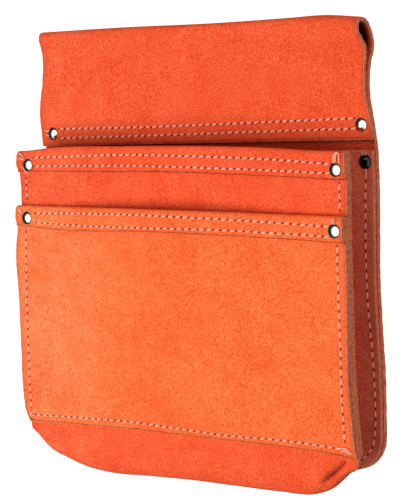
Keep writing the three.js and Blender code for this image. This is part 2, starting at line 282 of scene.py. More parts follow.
seam_spacing = 4.0
seam_pull, seam_width = 0.35, 2.6
rivet_pull, rivet_width = 0.5, 7.5
flap_lines = [row_line(row, seam_spacing) for row in flap_rows]
main_lines = [row_line(row, seam_spacing) for row in main_rows]
small_lines = [row_line(row, seam_spacing) for row in small_rows]
edge_rows = [bottom_row, *left_side_rows, *right_side_rows]
edge_lines = [row_line(row, seam_spacing) for row in edge_rows]
print("stitches in the upper flap row:", len(row_line(flap_rows[0], stitch_pitch)) - 1)

# %% [markdown]
# ## A sheet of leather
# Every leather piece here is the same thing: a grid of points on the middle of the leather,
# thickened to both sides and closed by a rim. Blender's Solidify modifier could thicken the grid,
# but its rim is a flat band. A cut edge of thick suede is soft and a little ragged, so the rim is
# built by hand from four rings that bulge, and it gets a material of its own. Two masks are kept
# on the points for the finish: how near a raw edge is, and how much painted shade the leather gets.

# %% The border of a grid, and the way out of the sheet there
shortest = 1e-9


def unit(vectors):
    """Each vector at a length of one."""
    return vectors / np.maximum(np.linalg.norm(vectors, axis=-1, keepdims=True), shortest)


def rim_loop(columns, rows):
    """Grid places round the border, in order, once round."""
    return (
        [(i, 0) for i in range(columns)]
        + [(columns - 1, j) for j in range(1, rows)]
        + [(i, rows - 1) for i in range(columns - 2, -1, -1)]
        + [(0, j) for j in range(rows - 2, 0, -1)]
    )


def rim_outward(grid, normals, loop):
    """The direction out of the sheet at each place of its border."""
    columns, rows = grid.shape[:2]
    out = []
    for i, j in loop:
        away = np.zeros(3)
        if i in (0, columns - 1):
            away += unit(grid[i, j] - grid[1 if i == 0 else columns - 2, j])
        if j in (0, rows - 1):
            away += unit(grid[i, j] - grid[i, 1 if j == 0 else rows - 2])
        away -= normals[i, j] * np.dot(away, normals[i, j])
        out.append(unit(away))
    return np.array(out)


print("places round a border of 4 by 3:", len(rim_loop(4, 3)))


# %% How far each point is from a raw edge
def run_along(grid, axis):
    """Length along the leather from the start of each line of the grid."""
    steps = np.linalg.norm(np.diff(grid, axis=axis), axis=2)
    start = [(1, 0), (0, 0)] if axis == 0 else [(0, 0), (1, 0)]
    return np.cumsum(np.pad(steps, start), axis=axis)


def raw_distance(grid, soft_ends):
    """How far each grid point is, along the leather, from the nearest edge that shows raw."""
    across_run = run_along(grid, 0)
    down_run = run_along(grid, 1)
    near = np.minimum(across_run, across_run[-1:] - across_run)
    if 0 not in soft_ends:
        near = np.minimum(near, down_run)
    if -1 not in soft_ends:
        near = np.minimum(near, down_run[:, -1:] - down_run)
    return near


square = np.stack(np.meshgrid([0.0, 1.0, 2.0], [0.0], [0.0, 1.0, 2.0], indexing="ij"), axis=-1)[:, 0]
print("from the middle of a 2 mm square to its edge, mm:", raw_distance(square, ())[1, 1])

# %% The bulging rim and the faces of a sheet
rim_rings = 4
rim_bulge = 0.55
rim_ragged = 0.12
rim_flat, rim_full = 0.7, 0.6


def rim_points(flat, faces_up, out, halves, rng):
    """The rings of points from the plus side of a border to its minus side, with a soft bulge."""
    rings = []
    for ring in range(1, rim_rings + 1):
        angle = math.pi / 2 - math.pi * ring / (rim_rings + 1)
        rise = math.copysign(abs(math.sin(angle)) ** rim_flat, math.sin(angle))
        half = halves[0] if rise > 0 else halves[1]
        push = rim_bulge * math.cos(angle) ** rim_full * half / (leather / 2)
        push = push + rng.normal(0, rim_ragged, len(flat))
        rings.append(flat + faces_up * (rise * half)[:, None] + out * push[:, None])
    return rings


def sheet_faces(columns, rows, picks):
    """Four-sided faces of the two sides and of the rim between them, and how many are on the sides."""
    count = columns * rows
    corner = np.arange(count).reshape(columns, rows)
    a, b = corner[:-1, :-1].ravel(), corner[1:, :-1].ravel()
    c, d = corner[1:, 1:].ravel(), corner[:-1, 1:].ravel()
    quads = [np.stack([a, b, c, d], 1), np.stack([a, d, c, b], 1) + count]
    rings = [picks]
    rings += [2 * count + r * len(picks) + np.arange(len(picks)) for r in range(rim_rings)]
    rings.append(picks + count)
    for upper, lower in zip(rings[:-1], rings[1:]):
        quads.append(np.stack([upper, lower, np.roll(lower, -1), np.roll(upper, -1)], 1))
    return np.concatenate(quads), 2 * len(a)


print("faces of a sheet of 3 by 3 points:", len(sheet_faces(3, 3, np.arange(8))[0]))

# %% Thicken a grid into a closed sheet
edge_reach = 1.8


def leather_sheet(name, grid, plus, minus, seed, soft_ends=(), painted_shade=None):
    """A closed sheet round a grid of middle points, plus and minus thick to its two sides.

    soft_ends are the ends, 0 and -1 down the grid, whose thin edge keeps the colour of the face.
    soil is the painted shade on each of the two sides, from 0 to 1."""
    along = np.gradient(grid, axis=0)
    down = np.gradient(grid, axis=1)
    normals = unit(np.cross(along, down))
    columns, rows = grid.shape[:2]
    loop = rim_loop(columns, rows)
    out = rim_outward(grid, normals, loop)
    picks = np.array([i * rows + j for i, j in loop])
    flat = grid.reshape(-1, 3)
    faces_up = normals.reshape(-1, 3)
    points = [flat + faces_up * plus.reshape(-1, 1), flat - faces_up * minus.reshape(-1, 1)]
    halves = [plus.reshape(-1)[picks], minus.reshape(-1)[picks]]
    points += rim_points(flat[picks], faces_up[picks], out, halves, np.random.default_rng(seed))
    faces, side_faces = sheet_faces(columns, rows, picks)
    mesh = bpy.data.meshes.new(name)
    mesh.from_pydata(to_frame(np.concatenate(points)).tolist(), [], faces.tolist())
    soft_rows = [rows - 1 if end == -1 else 0 for end in soft_ends]
    raw = np.array([0 if j in soft_rows else 1 for _, j in loop])
    index = np.concatenate([np.zeros(side_faces, int), np.tile(raw, rim_rings + 1)])
    mesh.polygons.foreach_set("material_index", index)
    mesh.polygons.foreach_set("use_smooth", np.ones(len(faces), bool))
    count = columns * rows
    near = np.exp(-raw_distance(grid, soft_ends) / edge_reach).ravel()
    on_rims = np.tile(raw, rim_rings)
    painted_shade = np.zeros((2, count)) if painted_shade is None else np.reshape(painted_shade, (2, count))
    # The second mask carries painted shade: darker where the leather lies in shade.
    masks = {"edge_near": [near, near, on_rims], "painted_shade": [*painted_shade, on_rims * 0.0]}
    for label, values in masks.items():
        spread = np.concatenate(values).astype(np.float32)
        mesh.attributes.new(label, "FLOAT", "POINT").data.foreach_set("value", spread)
    mesh.update()
    piece = bpy.data.objects.new(name, mesh)
    bpy.context.scene.collection.objects.link(piece)
    print(name, "has", len(faces), "faces")
    return piece


print("reach of the wear along a raw edge, mm:", edge_reach)


# %% Columns across a sheet
def across_stations(spacing, fine_spacing, fine_from):
    """Shares of the half width from -1 to 1, closer together near the sides."""
    wide = np.linspace(-fine_from, fine_from, int(2 * fine_from * panel_half / spacing) + 1)
    count = int((1 - fine_from) * panel_half / fine_spacing)
    side = np.linspace(fine_from, 1, count + 1)[1:]
    return np.concatenate([-side[::-1], wide, side])


across = across_stations(spacing=2.5, fine_spacing=0.9, fine_from=0.74)
print("columns across a sheet:", len(across))

# %% [markdown]
# ## Back panel, belt tunnel and flap
# One long piece of leather. Its upper end rolls forward over the belt and comes down as a flap
# that is sewn and riveted to the panel. The roll could be sculpted, but then no number would say
# how deep or how high it stands. So it is one profile, seen from the side, swept across the pouch.
# In the photograph the inside of the roll is nearly black, and a thin strip under the flap is in
# shade. Soft lamps don't give such depths, so both are painted on as a mask.

# %% The roll in profile
# forward is a share of roll_depth in front of the back panel, down is a share of tunnel_drop.
roll_fold = [
    {"forward": 0, "down": 0.84},
    {"forward": -0.01, "down": 0.54},
    {"forward": -0.09, "down": 0.36},
    {"forward": -0.25, "down": 0.23},
    {"forward": -0.3, "down": 0.12},
    {"forward": -0.09, "down": 0.025},
    {"forward": crown_forward, "down": 0},
    {"forward": 0.53, "down": 0.03},
    {"forward": 0.68, "down": 0.12},
    {"forward": 0.53, "down": 0.22},
    {"forward": 0.33, "down": 0.3},
    {"forward": 0.235, "down": 0.4},
]
flap_tight = 0.72
roll_spacing = 2.0
row_spacing = 2.4
corner_steps = 16

panel_top = -tunnel_drop - flap_lap
knots = [(back_y, panel_top)]
for row in roll_fold:
    knots.append((back_y - row["forward"] * roll_depth, back_y - row["down"] * tunnel_drop))
knots += [(rear_layer_y, -tunnel_drop * flap_tight), (rear_layer_y, panel_top)]
roll = smooth_line(knots, roll_spacing)

corner_angles = np.linspace(math.pi / 2, 0, corner_steps)
corner_rows = -pouch_drop + corner_radius * (1 - np.sin(corner_angles))
straight_from = -pouch_drop + corner_radius + row_spacing
straight_rows = np.arange(straight_from, panel_top - row_spacing / 2, row_spacing)
profile_z = np.concatenate([corner_rows, straight_rows, roll[:, 1]])
profile_y = np.concatenate([np.full(len(corner_rows) + len(straight_rows), back_y), roll[:, 0]])
roll_start = len(corner_rows) + len(straight_rows)
on_flap = np.zeros(len(profile_z))
on_flap[roll_start:] = np.clip(np.linspace(-1, 1, len(roll)), 0, 1)
print("rows down the back panel:", len(profile_z))

# %% Its two side edges as they were cut
left_back_edge = [
    {"drop": 0, "half": 140.6}, {"drop": 16, "half": 139.6}, {"drop": 34, "half": 141.8},
    {"drop": 57, "half": 146.4}, {"drop": 83, "half": 145.4}, {"drop": 160, "half": 145.4},
    {"drop": 240, "half": 145.0}, {"drop": 302, "half": 145.0},
]
right_back_edge = [
    {"drop": 0, "half": 140.4}, {"drop": 10, "half": 142.0}, {"drop": 20, "half": 144.4},
    {"drop": 36, "half": 142.6}, {"drop": 56, "half": 142.4}, {"drop": 68, "half": 144.2},
    {"drop": 85, "half": 146.4}, {"drop": 110, "half": 146.8}, {"drop": 174, "half": 144.8},
    {"drop": 253, "half": 146.0}, {"drop": 281, "half": 145.5}, {"drop": 302, "half": 144.6},
]


def back_half(side, drop):
    """Half width of the back panel at a drop, round at the two lower corners."""
    rows = left_back_edge if side < 0 else right_back_edge
    past = np.clip(drop - (pouch_drop - corner_radius), 0, corner_radius)
    return smooth_read(rows, "drop", "half", drop) - corner_radius + np.sqrt(corner_radius**2 - past**2)


print("half width at the flap's edge, mm:", round(float(back_half(1, np.array(-panel_top))), 1))

# %% Lay out the back panel's grid
# full is how round the roll stands, and dip is how far its top hangs down.
roll_fullness = [
    {"across": -1, "full": 0.3}, {"across": -0.5, "full": 0.35}, {"across": 0.4, "full": 0.5},
    {"across": 0.85, "full": 0.85}, {"across": 1, "full": 1.0},
]
crown_dip = [
    {"across": -1, "dip": 0.6}, {"across": -0.4, "dip": 0.2}, {"across": 0.1, "dip": 0.9},
    {"across": 0.6, "dip": 0.2}, {"across": 0.8, "dip": -0.3}, {"across": 1, "dip": 2.2},
]
dip_reach = 30.0
front_gain = 6
flap_from = 0.3
flap_gape, gape_from, gape_to = 1.1, -66.0, -14.0
gape_fade, gape_side = 12.0, 0.75

is_flap = on_flap > flap_from
left_half, right_half = back_half(-1, -profile_z), back_half(1, -profile_z)
half_row = np.where(across[:, None] < 0, left_half[None], right_half[None])
panel = np.zeros((len(across), len(profile_z), 3))
panel[..., 0] = across[:, None] * half_row
panel[..., 2] = profile_z[None] + flap_slant / 2 * on_flap[None] * across[:, None]
fullness = smooth_read(roll_fullness, "across", "full", across)[:, None]
on_front = np.clip(on_flap * front_gain, 0, 1) * np.clip((rear_layer_y - profile_y) / roll_depth, 0, None)
panel[..., 1] = profile_y[None] + on_front[None] * (1 - fullness) * roll_depth
panel[..., 1] += drape(panel[..., 0], panel[..., 2], back_waves)
gape_down = np.clip((panel[..., 2] - gape_from) / gape_fade, 0, 1)
gape_down = gape_down * np.clip((gape_to - panel[..., 2]) / gape_fade, 0, 1)
gape_across = np.clip((across[:, None] - gape_side) / (1 - gape_side), 0, 1)
panel[..., 1] -= flap_gape * gape_down * gape_across * is_flap
dip = smooth_read(crown_dip, "across", "dip", across)[:, None]
panel[..., 2] -= dip * np.clip(1 + panel[..., 2] / dip_reach, 0, 1)
flap_part = panel[:, is_flap]
pull_in(flap_part, flap_lines, seam_pull, seam_width)
pull_in(flap_part, rivet_line("flap"), rivet_pull, rivet_width)
panel[:, is_flap] = flap_part
back_part = panel[:, ~is_flap]
back_lines = [*flap_lines, row_line(rear_bottom_row, seam_spacing)]
pull_in(back_part, back_lines, -seam_pull / 2, seam_width)
panel[:, ~is_flap] = back_part
print("points in the back panel's grid:", panel.shape[0] * panel.shape[1])

# %% Paint shade inside the roll and on the strip under the flap
# Both masks are painted shade: the dark inside of the roll, and the shadow just under the flap's edge.
roll_shade, roll_shade_down, roll_shade_fade = 0.97, 32.0, 12.0
rows_skipped = 3
roll_shade_from, roll_shade_reach = 0.6, 2.4
flap_shade, shade_from, shade_reach = 0.85, 76.0, 2.8
in_roll = np.arange(len(profile_z)) > roll_start + rows_skipped
in_roll = in_roll * np.clip((panel[..., 2] + roll_shade_down) / roll_shade_fade, 0, 1)
from_end = (half_row - np.abs(panel[..., 0]) - roll_shade_from) / roll_shade_reach
roll_inside_shade = roll_shade * in_roll * np.clip(from_end, 0, 1)
below_flap = np.clip(panel[:, -1:, 2] - panel[..., 2], 0, None)
shaded = flap_shade * np.exp(-((below_flap / shade_reach) ** 2)) * (panel[..., 2] < -shade_from)
dark = np.maximum(roll_inside_shade, shaded)
full = np.full(panel.shape[:2], leather / 2)
back_panel = leather_sheet("back_panel_leather", panel, full, full, seed=11, painted_shade=(dark, dark * 0))
print("darkest soil in the roll:", round(float(dark.max()), 2))

# %% [markdown]
# ## The front layers
# Both pockets start with a hem: the leather is folded out over itself at the mouth and sewn
# down twice. From the fold it runs down the front. The hem could be a strip laid on the panel,
# but then the fold at the mouth would show a joint. So hem, fold and panel are one grid: the fold
# is half a turn, the hem and the panel follow the same swell, and the hem thins out to its raw
# edge, which shows only as a line.

# %% How the front swells and bows
depth_swell = 3.5
swell_skew = 1.9
front_bow = 2.5
bow_reach = 0.86
small_mouth_bow = 8.0
small_mouth_rise = 1.5
small_mouth_slant = -2.9
small_mouth_share = (small_mouth_drop - mouth_drop) / (front_end_drop - mouth_drop)


def bow_at(share_across):
    """Bow across the pouch, flat at the sides where the rivets are."""
    return np.clip(1 - (share_across / bow_reach) ** 2, 0, None) ** 2


def front_share(drop):
    """Share of the way from the main mouth to the front's lower end."""
    return np.clip((drop - mouth_drop) / (front_end_drop - mouth_drop), 0, 1)


def main_shift(share_across, drop):
    """How far the front panel stands off its plane."""
    share = front_share(drop)
    swell = depth_swell * np.sin(math.pi * share**swell_skew)
    return -swell - front_bow * bow_at(share_across) * (1 - share / 2)


def small_shift(share_across, drop):
    """The same for the small pocket, whose mouth stands open."""
    share = front_share(drop)
    open_mouth = small_mouth_bow * bow_at(share_across) * (1 - share) / (1 - small_mouth_share)
    return main_shift(share_across, drop) - open_mouth


print("bow of the small mouth, mm:", round(float(-small_shift(0.0, small_mouth_drop)), 1))

# %% The side edges of the two pockets
main_left_edge = [
    {"drop": 84, "half": 141.6}, {"drop": 91, "half": 142.6}, {"drop": 98, "half": 143.4},
    {"drop": 103, "half": 143.0}, {"drop": 115, "half": 142.1}, {"drop": 127, "half": 142.2},
    {"drop": 170, "half": 142.6}, {"drop": 286, "half": 144.0},
]
main_right_edge = [
    {"drop": 84, "half": 145.2}, {"drop": 93, "half": 145.0}, {"drop": 112, "half": 144.1},
    {"drop": 128, "half": 143.8}, {"drop": 200, "half": 144.4}, {"drop": 286, "half": 145.0},
]
small_left_edge = [
    {"drop": 122, "half": 141.2}, {"drop": 134, "half": 142.6}, {"drop": 142, "half": 143.4},
    {"drop": 159, "half": 146.0}, {"drop": 196, "half": 143.6}, {"drop": 233, "half": 143.8},
    {"drop": 268, "half": 145.6}, {"drop": 286, "half": 144.8},
]
small_right_edge = [
    {"drop": 125, "half": 144.7}, {"drop": 134, "half": 143.8}, {"drop": 153, "half": 144.6},
    {"drop": 234, "half": 144.2}, {"drop": 286, "half": 144.8},
]
print("half width of the main mouth, mm:", main_left_edge[0]["half"], main_right_edge[0]["half"])

# %% Rows down a pocket front, from the hem's raw edge over the fold to the lower end
fold_steps = 10
hem_rows = 9
fold_clear, last_row_gap = 2.0, 1.2


def front_rows(mouth, hem_end):
    """The drop of each grid point, and how far each row stands off the panel's layer."""
    fold = (leather + layer_step) / 2
    hem_share = np.linspace(1, 0, hem_rows + 1)[:-1]
    fold_angle = np.linspace(math.pi, 0, fold_steps + 1)
    panel_drops = np.arange(mouth + fold + fold_clear, front_end_drop - last_row_gap, row_spacing)
    panel_drops = np.append(panel_drops, front_end_drop)
    hem_drops = mouth + fold + hem_share[None] * (hem_end[:, None] - mouth - fold)
    below_hem = np.append(mouth + fold - np.sin(fold_angle) * layer_step / 2, panel_drops)
    below_hem = np.broadcast_to(below_hem, (len(across), len(below_hem)))
    layers = np.concatenate([
        np.full(hem_rows, -layer_step),
        (np.cos(fold_angle) - 1) * layer_step / 2,
        np.zeros(len(panel_drops)),
    ])
    return np.concatenate([hem_drops, below_hem], 1), layers


print("fold radius of a hem, mm:", layer_step / 2)

# %% The grid of a pocket front
end_bend = 8
hem_skive, skive_curve = 6.0, 1.5
hem_edge = 0.35
line_reach, line_shade = 1.3, 0.16
edge_bite = 0.1


def front_grid(mouth, rise, hem_end, end_drop, layer_y, shift, edges):
    """Hem, fold and panel of a pocket front as one grid, with its thickness to both sides.

    Returns too a painted shadow along the line where the hem ends."""
    fold = (leather + layer_step) / 2
    run = front_end_drop - mouth
    hem_end = (hem_end + rise * front_end_drop / run) / (1 + rise / run)
    drops, layers = front_rows(mouth, hem_end)
    half = np.where(across[:, None] < 0, smooth_read(edges[0], "drop", "half", drops),
                    smooth_read(edges[1], "drop", "half", drops))
    grid = np.zeros((*drops.shape, 3))
    grid[..., 0] = across[:, None] * half
    share = (drops - mouth) / run
    grid[..., 2] = -drops + rise[:, None] * (1 - share)
    grid[..., 2] -= (end_drop - front_end_drop)[:, None] * share**end_bend
    grid[..., 1] = layer_y + layers[None] + shift(across[:, None], np.maximum(drops, mouth + fold))
    grid[..., 1] += drape(grid[..., 0], grid[..., 2], front_waves)
    plus = np.full(drops.shape, leather / 2)
    minus = plus.copy()
    from_raw_edge = hem_end[:, None] - drops[:, :hem_rows]
    skived = np.clip(1 - from_raw_edge / hem_skive, 0, 1)
    plus[:, :hem_rows] -= skived**skive_curve * (leather - hem_edge)
    minus[:, :hem_rows] += skived * (layer_gap + edge_bite)
    # A thin painted shadow along the hem's raw edge.
    line = np.zeros(drops.shape)
    line[:, :hem_rows] = line_shade * np.exp(-((from_raw_edge / line_reach) ** 2))
    return grid, plus, minus, line


print("raw edge of a hem, mm thick:", hem_edge)

# %% [markdown]
# ## Main pocket
# Below the front panel the same piece of leather sags forward, turns under and comes back to the
# back panel, where it is folded once more and sewn down. At the right lower corner the spare
# leather is pushed in as a short deep crease, and at the left corner a tuck hardly shows. A half
# cylinder would be the simplest bottom, but it would not sag more in the middle than at its ends.
# So each column of the grid has a smooth curve of its own, and the tucks are pushed in afterwards.

# %% The sagging bottom
# back is a share of the way from the front to the rear seam, and down is a share of trough_sag.
trough_fold = [
    {"back": 0, "down": 0.2},
    {"back": 0.01, "down": 0.5},
    {"back": 0.12, "down": 0.82},
    {"back": 0.34, "down": 1},
    {"back": 0.58, "down": 0.95},
    {"back": 0.8, "down": 0.68},
    {"back": 0.94, "down": 0.38},
]
sag_across = [
    {"across": -1, "sag": 0.34}, {"across": -0.94, "sag": 0.72}, {"across": -0.86, "sag": 0.87},
    {"across": -0.74, "sag": 1.03}, {"across": -0.55, "sag": 1.12}, {"across": -0.3, "sag": 1.08},
    {"across": 0, "sag": 1.03}, {"across": 0.3, "sag": 1.02}, {"across": 0.55, "sag": 1.02},
    {"across": 0.78, "sag": 0.94}, {"across": 0.87, "sag": 0.76}, {"across": 0.94, "sag": 0.5},
    {"across": 1, "sag": 0.26},
]
seam_y = rear_layer_y - layer_step
seam_half = panel_half - corner_radius - layer_gap
seam_z = -pouch_drop + rear_flange - (leather + layer_step) / 2
print("deepest sag, mm:", round(trough_sag * max(row["sag"] for row in sag_across), 1))

# %% One column of the bottom
trough_rows = 72
trough_spacing = 0.8
edge_sag, edge_until = 0.4, 0.34
edge_drawn_in, edge_drawn_by = 3.4, 0.12
corner_power = 9


def trough_column(share_across, end_point):
    """The bottom of the main pocket behind one place of the front panel's end.

    At the sides the leather hangs down a little at the front before it turns under."""
    sag = float(smooth_read(sag_across, "across", "sag", share_across))
    knots = [end_point]
    for row in trough_fold:
        level = mix(-front_end_drop, seam_z, row["back"])
        sunk = -front_end_drop - row["down"] * trough_sag
        drawn_in = edge_drawn_in * share_across**corner_power * min(row["back"] / edge_drawn_by, 1)
        x = mix(end_point[0], share_across * seam_half, row["back"]) - drawn_in
        sag_here = mix(max(sag, edge_sag), sag, min(row["back"] / edge_until, 1))
        knots.append((x, mix(end_point[1], seam_y, row["back"]), mix(level, sunk, sag_here)))
    knots.append((share_across * seam_half, seam_y, seam_z))
    line = smooth_line(knots, trough_spacing)
    at = np.linspace(0, len(line) - 1, trough_rows + 1)
    return np.stack([np.interp(at, np.arange(len(line)), column) for column in line.T], axis=1)


print("rows down one column:", len(trough_column(0.0, (0.0, front_layer_y, -front_end_drop))))

# %% Two tucks in its corners
# The right one is a deep crease. The left one hardly shows. Each also gets painted shade along its crease.
tucks = [
    {"depth": 8.6, "width": 1.9, "bank": 2.4, "bank_side": 1, "painted_shade": 1.0, "line": [
        {"x": 134.4, "drop": 286.6}, {"x": 134.0, "drop": 290.0}, {"x": 130.6, "drop": 294.4},
        {"x": 124.0, "drop": 299.6}, {"x": 116.4, "drop": 306.0},
    ]},
    {"depth": 0.8, "width": 1.6, "bank": 0.3, "bank_side": -1, "painted_shade": 0.15, "line": [
        {"x": -140.6, "drop": 289.0}, {"x": -137.4, "drop": 294.0}, {"x": -131.0, "drop": 298.4},
        {"x": -122.0, "drop": 301.4},
    ]},
]
tuck_behind, tuck_fade = -22.0, 5.0
tuck_clear = 1.5
tuck_spacing = 0.6
bank_away, bank_width = 4.6, 2.8
crease_shade_width = 2.0
tuck_skew, tuck_taper = 1.7, 0.5


def push_tuck(grid, tuck):
    """Push a short crease into the front of the trough, with a soft bank on its inner side.

    Returns the painted shade along the bottom of the crease."""
    line = row_line(tuck["line"], tuck_spacing)
    normals = unit(np.cross(np.gradient(grid, axis=0), np.gradient(grid, axis=1)))
    apart = grid[..., None, [0, 2]] - line
    distance = np.linalg.norm(apart, axis=-1)
    nearest = distance.argmin(axis=-1)
    distance = distance.min(axis=-1)
    heading = unit(np.gradient(line, axis=0))[nearest]
    offset = np.take_along_axis(apart, nearest[..., None, None], axis=-2)[..., 0, :]
    side = np.sign(heading[..., 0] * offset[..., 1] - heading[..., 1] * offset[..., 0]) * tuck["bank_side"]
    taper = np.sin(math.pi * ((nearest + 0.5) / len(line)) ** tuck_skew) ** tuck_taper
    in_front = np.clip((tuck_behind - grid[..., 1]) / tuck_fade, 0, 1)
    in_front = in_front * (grid[..., 2] < -front_end_drop + tuck_clear)
    groove = tuck["depth"] * np.exp(-((distance / tuck["width"]) ** 2))
    bank = tuck["bank"] * np.exp(-(((distance - bank_away) / bank_width) ** 2)) * (side < 0)
    grid += normals * ((groove - bank) * taper * in_front)[..., None]
    # Painted shade along the crease.
    return tuck["painted_shade"] * np.exp(-((distance / crease_shade_width) ** 2)) * taper * in_front


print("tucks:", len(tucks))

# %% Where the main pocket's hem ends, and how its mouth rises
main_hem_end = [
    {"across": -1, "drop": 101.2}, {"across": -0.6, "drop": 101.3}, {"across": 0.1, "drop": 101.3},
    {"across": 0.43, "drop": 102.9}, {"across": 0.77, "drop": 104.5}, {"across": 1, "drop": 106.0},
]
main_mouth_rise = [
    {"across": -1, "rise": -0.2}, {"across": -0.95, "rise": 0.0}, {"across": -0.87, "rise": 0.9},
    {"across": -0.8, "rise": 2.0}, {"across": -0.7, "rise": 2.7}, {"across": -0.3, "rise": 3.1},
    {"across": 0.2, "rise": 2.9}, {"across": 0.43, "rise": 2.1}, {"across": 0.65, "rise": 0.9},
    {"across": 0.82, "rise": -0.5}, {"across": 1, "rise": -0.8},
]
print("highest place of the main mouth, mm:", max(row["rise"] for row in main_mouth_rise))

# %% The main pocket's sheet, from its hem to its rear seam
flange_rows = 5
seam_turn_rows = 6
hem_end = smooth_read(main_hem_end, "across", "drop", across)
main_rise = smooth_read(main_mouth_rise, "across", "rise", across)
main_end = np.full(len(across), front_end_drop)
main_edges = (main_left_edge, main_right_edge)
grid, plus, minus, line = front_grid(
    mouth_drop, main_rise, hem_end, main_end, front_layer_y, main_shift, main_edges
)
bottom = np.array([trough_column(a, grid[i, -1])[1:] for i, a in enumerate(across)])
turn = np.linspace(math.pi, 0, seam_turn_rows + 1)[1:]
seam_turn = np.zeros((len(across), len(turn), 3))
seam_turn[..., 0] = (across * seam_half)[:, None]
seam_turn[..., 1] = (seam_y + rear_layer_y) / 2 + np.cos(turn) * layer_step / 2
seam_turn[..., 2] = seam_z + np.sin(turn) * layer_step / 2
flange = np.zeros((len(across), flange_rows, 3))
flange[..., 0] = (across * seam_half)[:, None]
flange[..., 1] = rear_layer_y
flange[..., 2] = np.linspace(seam_z, -pouch_drop, flange_rows + 1)[1:]
for part in (seam_turn, flange):
    part[..., 1] += drape(part[..., 0], part[..., 2], back_waves)
pull_in(grid, main_lines, seam_pull, seam_width)
pull_in(grid, rivet_line("main"), rivet_pull, rivet_width)
pull_in(grid, edge_lines, seam_pull, seam_width)
extra = trough_rows + len(turn) + flange_rows
main_grid = np.concatenate([grid, bottom, seam_turn, flange], 1)
# Painted shade: the thin shadow under the hem and along each crease.
crease_and_line_shade = np.pad(line, [(0, 0), (0, extra)]) + sum(push_tuck(main_grid, tuck) for tuck in tucks)
plus = np.pad(plus, [(0, 0), (0, extra)], constant_values=leather / 2)
minus = np.pad(minus, [(0, 0), (0, extra)], constant_values=leather / 2)
main_pocket = leather_sheet(
    "main_pocket_leather", main_grid, plus, minus, seed=23, soft_ends=(0,), painted_shade=(crease_and_line_shade, crease_and_line_shade)
)
print("rows down the main pocket:", main_grid.shape[1])

# %% [markdown]
# ## Small pocket
# A flat pocket sewn onto the front of the main one. Its mouth stands open in the middle, and its
# lower edge is pressed flat under the last row of stitches. It could be a copy of the main front
# moved forward, but the copy would neither open nor thin out. So the same grid is laid again with
# a swell and with edges of its own.

# %% The small pocket's sheet
small_hem_end = [
    {"across": -1, "drop": 140.2}, {"across": -0.67, "drop": 143.0}, {"across": -0.1, "drop": 141.2},
    {"across": 0.25, "drop": 142.0}, {"across": 0.77, "drop": 144.8}, {"across": 1, "drop": 146.0},
]
small_lower_edge = [
    {"across": -1, "drop": 286.2}, {"across": -0.9, "drop": 286.0}, {"across": -0.5, "drop": 284.5},
    {"across": 0, "drop": 283.9}, {"across": 0.5, "drop": 283.9}, {"across": 0.7, "drop": 284.3},
    {"across": 0.85, "drop": 285.2}, {"across": 0.95, "drop": 286.4}, {"across": 1, "drop": 287.4},
]
pressed_edge, pressed_curve = 0.7, 1.4
pressed_reach = 9.0
hem_end = smooth_read(small_hem_end, "across", "drop", across)
small_rise = small_mouth_rise * bow_at(across) + small_mouth_slant / 2 * across
small_end = smooth_read(small_lower_edge, "across", "drop", across)
small_edges = (small_left_edge, small_right_edge)
grid, plus, minus, line = front_grid(
    small_mouth_drop, small_rise, hem_end, small_end, small_y, small_shift, small_edges
)
pull_in(grid, small_lines, seam_pull, seam_width)
pull_in(grid, rivet_line("small"), rivet_pull, rivet_width)
pull_in(grid, edge_lines, seam_pull, seam_width)
to_edge = small_end[:, None] + grid[..., 2]
pressed = np.clip(1 - to_edge / pressed_reach, 0, 1)
minus -= pressed**pressed_curve * (leather - pressed_edge)
plus += pressed * (layer_gap + edge_bite)
# A thin painted shadow along the pressed lower edge.
line = line + line_shade * np.exp(-((to_edge / line_reach) ** 2))
small_pocket = leather_sheet(
    "small_pocket_leather", grid, plus, minus, seed=37, soft_ends=(0, -1), painted_shade=(line, line)
)
print("rows down the small pocket:", grid.shape[1])

# %% [markdown]
# ## The two side strips
# Each side is closed by a strip folded like a C that opens outwards: one leg is sewn behind the
# front panel, the other in front of the back panel, and the middle is the recessed side wall.
# At the bottom the rear leg follows the round corner of the back panel. A strip bent by hand in
# Blender's window would soon leave the panels that it is sewn to. So it is built from sections:
# each is drawn from the two edges at its height, and the sections are joined to one grid.

# %% The rear edge of a side strip, round the corner of the back panel
gusset_inset = 21.0
edge_margin, corner_margin = 0.8, 0.6
bend_from = 240.0
straight_end = pouch_drop - corner_radius


def rear_edge(run, side):
    """Edge of the strip at a run below bend_from: half width, drop and the way inwards."""
    straight = straight_end - bend_from
    half = float(back_half(side, np.array(bend_from + min(run, straight)))) - edge_margin
    if run <= straight:
        return half, bend_from + run, -1.0, 0.0
    angle = (run - straight) / corner_radius
    x = half - corner_radius + corner_radius * math.cos(angle)
    drop = straight_end + corner_radius * math.sin(angle) - corner_margin
    return x, drop, -math.cos(angle), math.sin(angle)


print("half width and drop at the start, mm:", [round(v, 1) for v in rear_edge(0.0, 1)[:2]])

# %% A soft bend
bend_steps = 6


def soft_bend(start, bend, end):
    """Points from start to end that bend towards the point between them."""
    points = []
    for k in range(bend_steps + 1):
        t = k / bend_steps
        points.append(start * (1 - t) ** 2 + bend * 2 * t * (1 - t) + end * t**2)
    return points


corner = [Vector((0, 0, 0)), Vector((1, 0, 0)), Vector((1, 1, 0))]
print("middle of a bend round a corner:", soft_bend(*corner)[bend_steps // 2])

# %% One section of a side strip
gusset_fold = 2.6
web_bow = 2.0
flange_top, flange_across = 116.0, 0.95
leg_steps, wall_steps = 9, 10


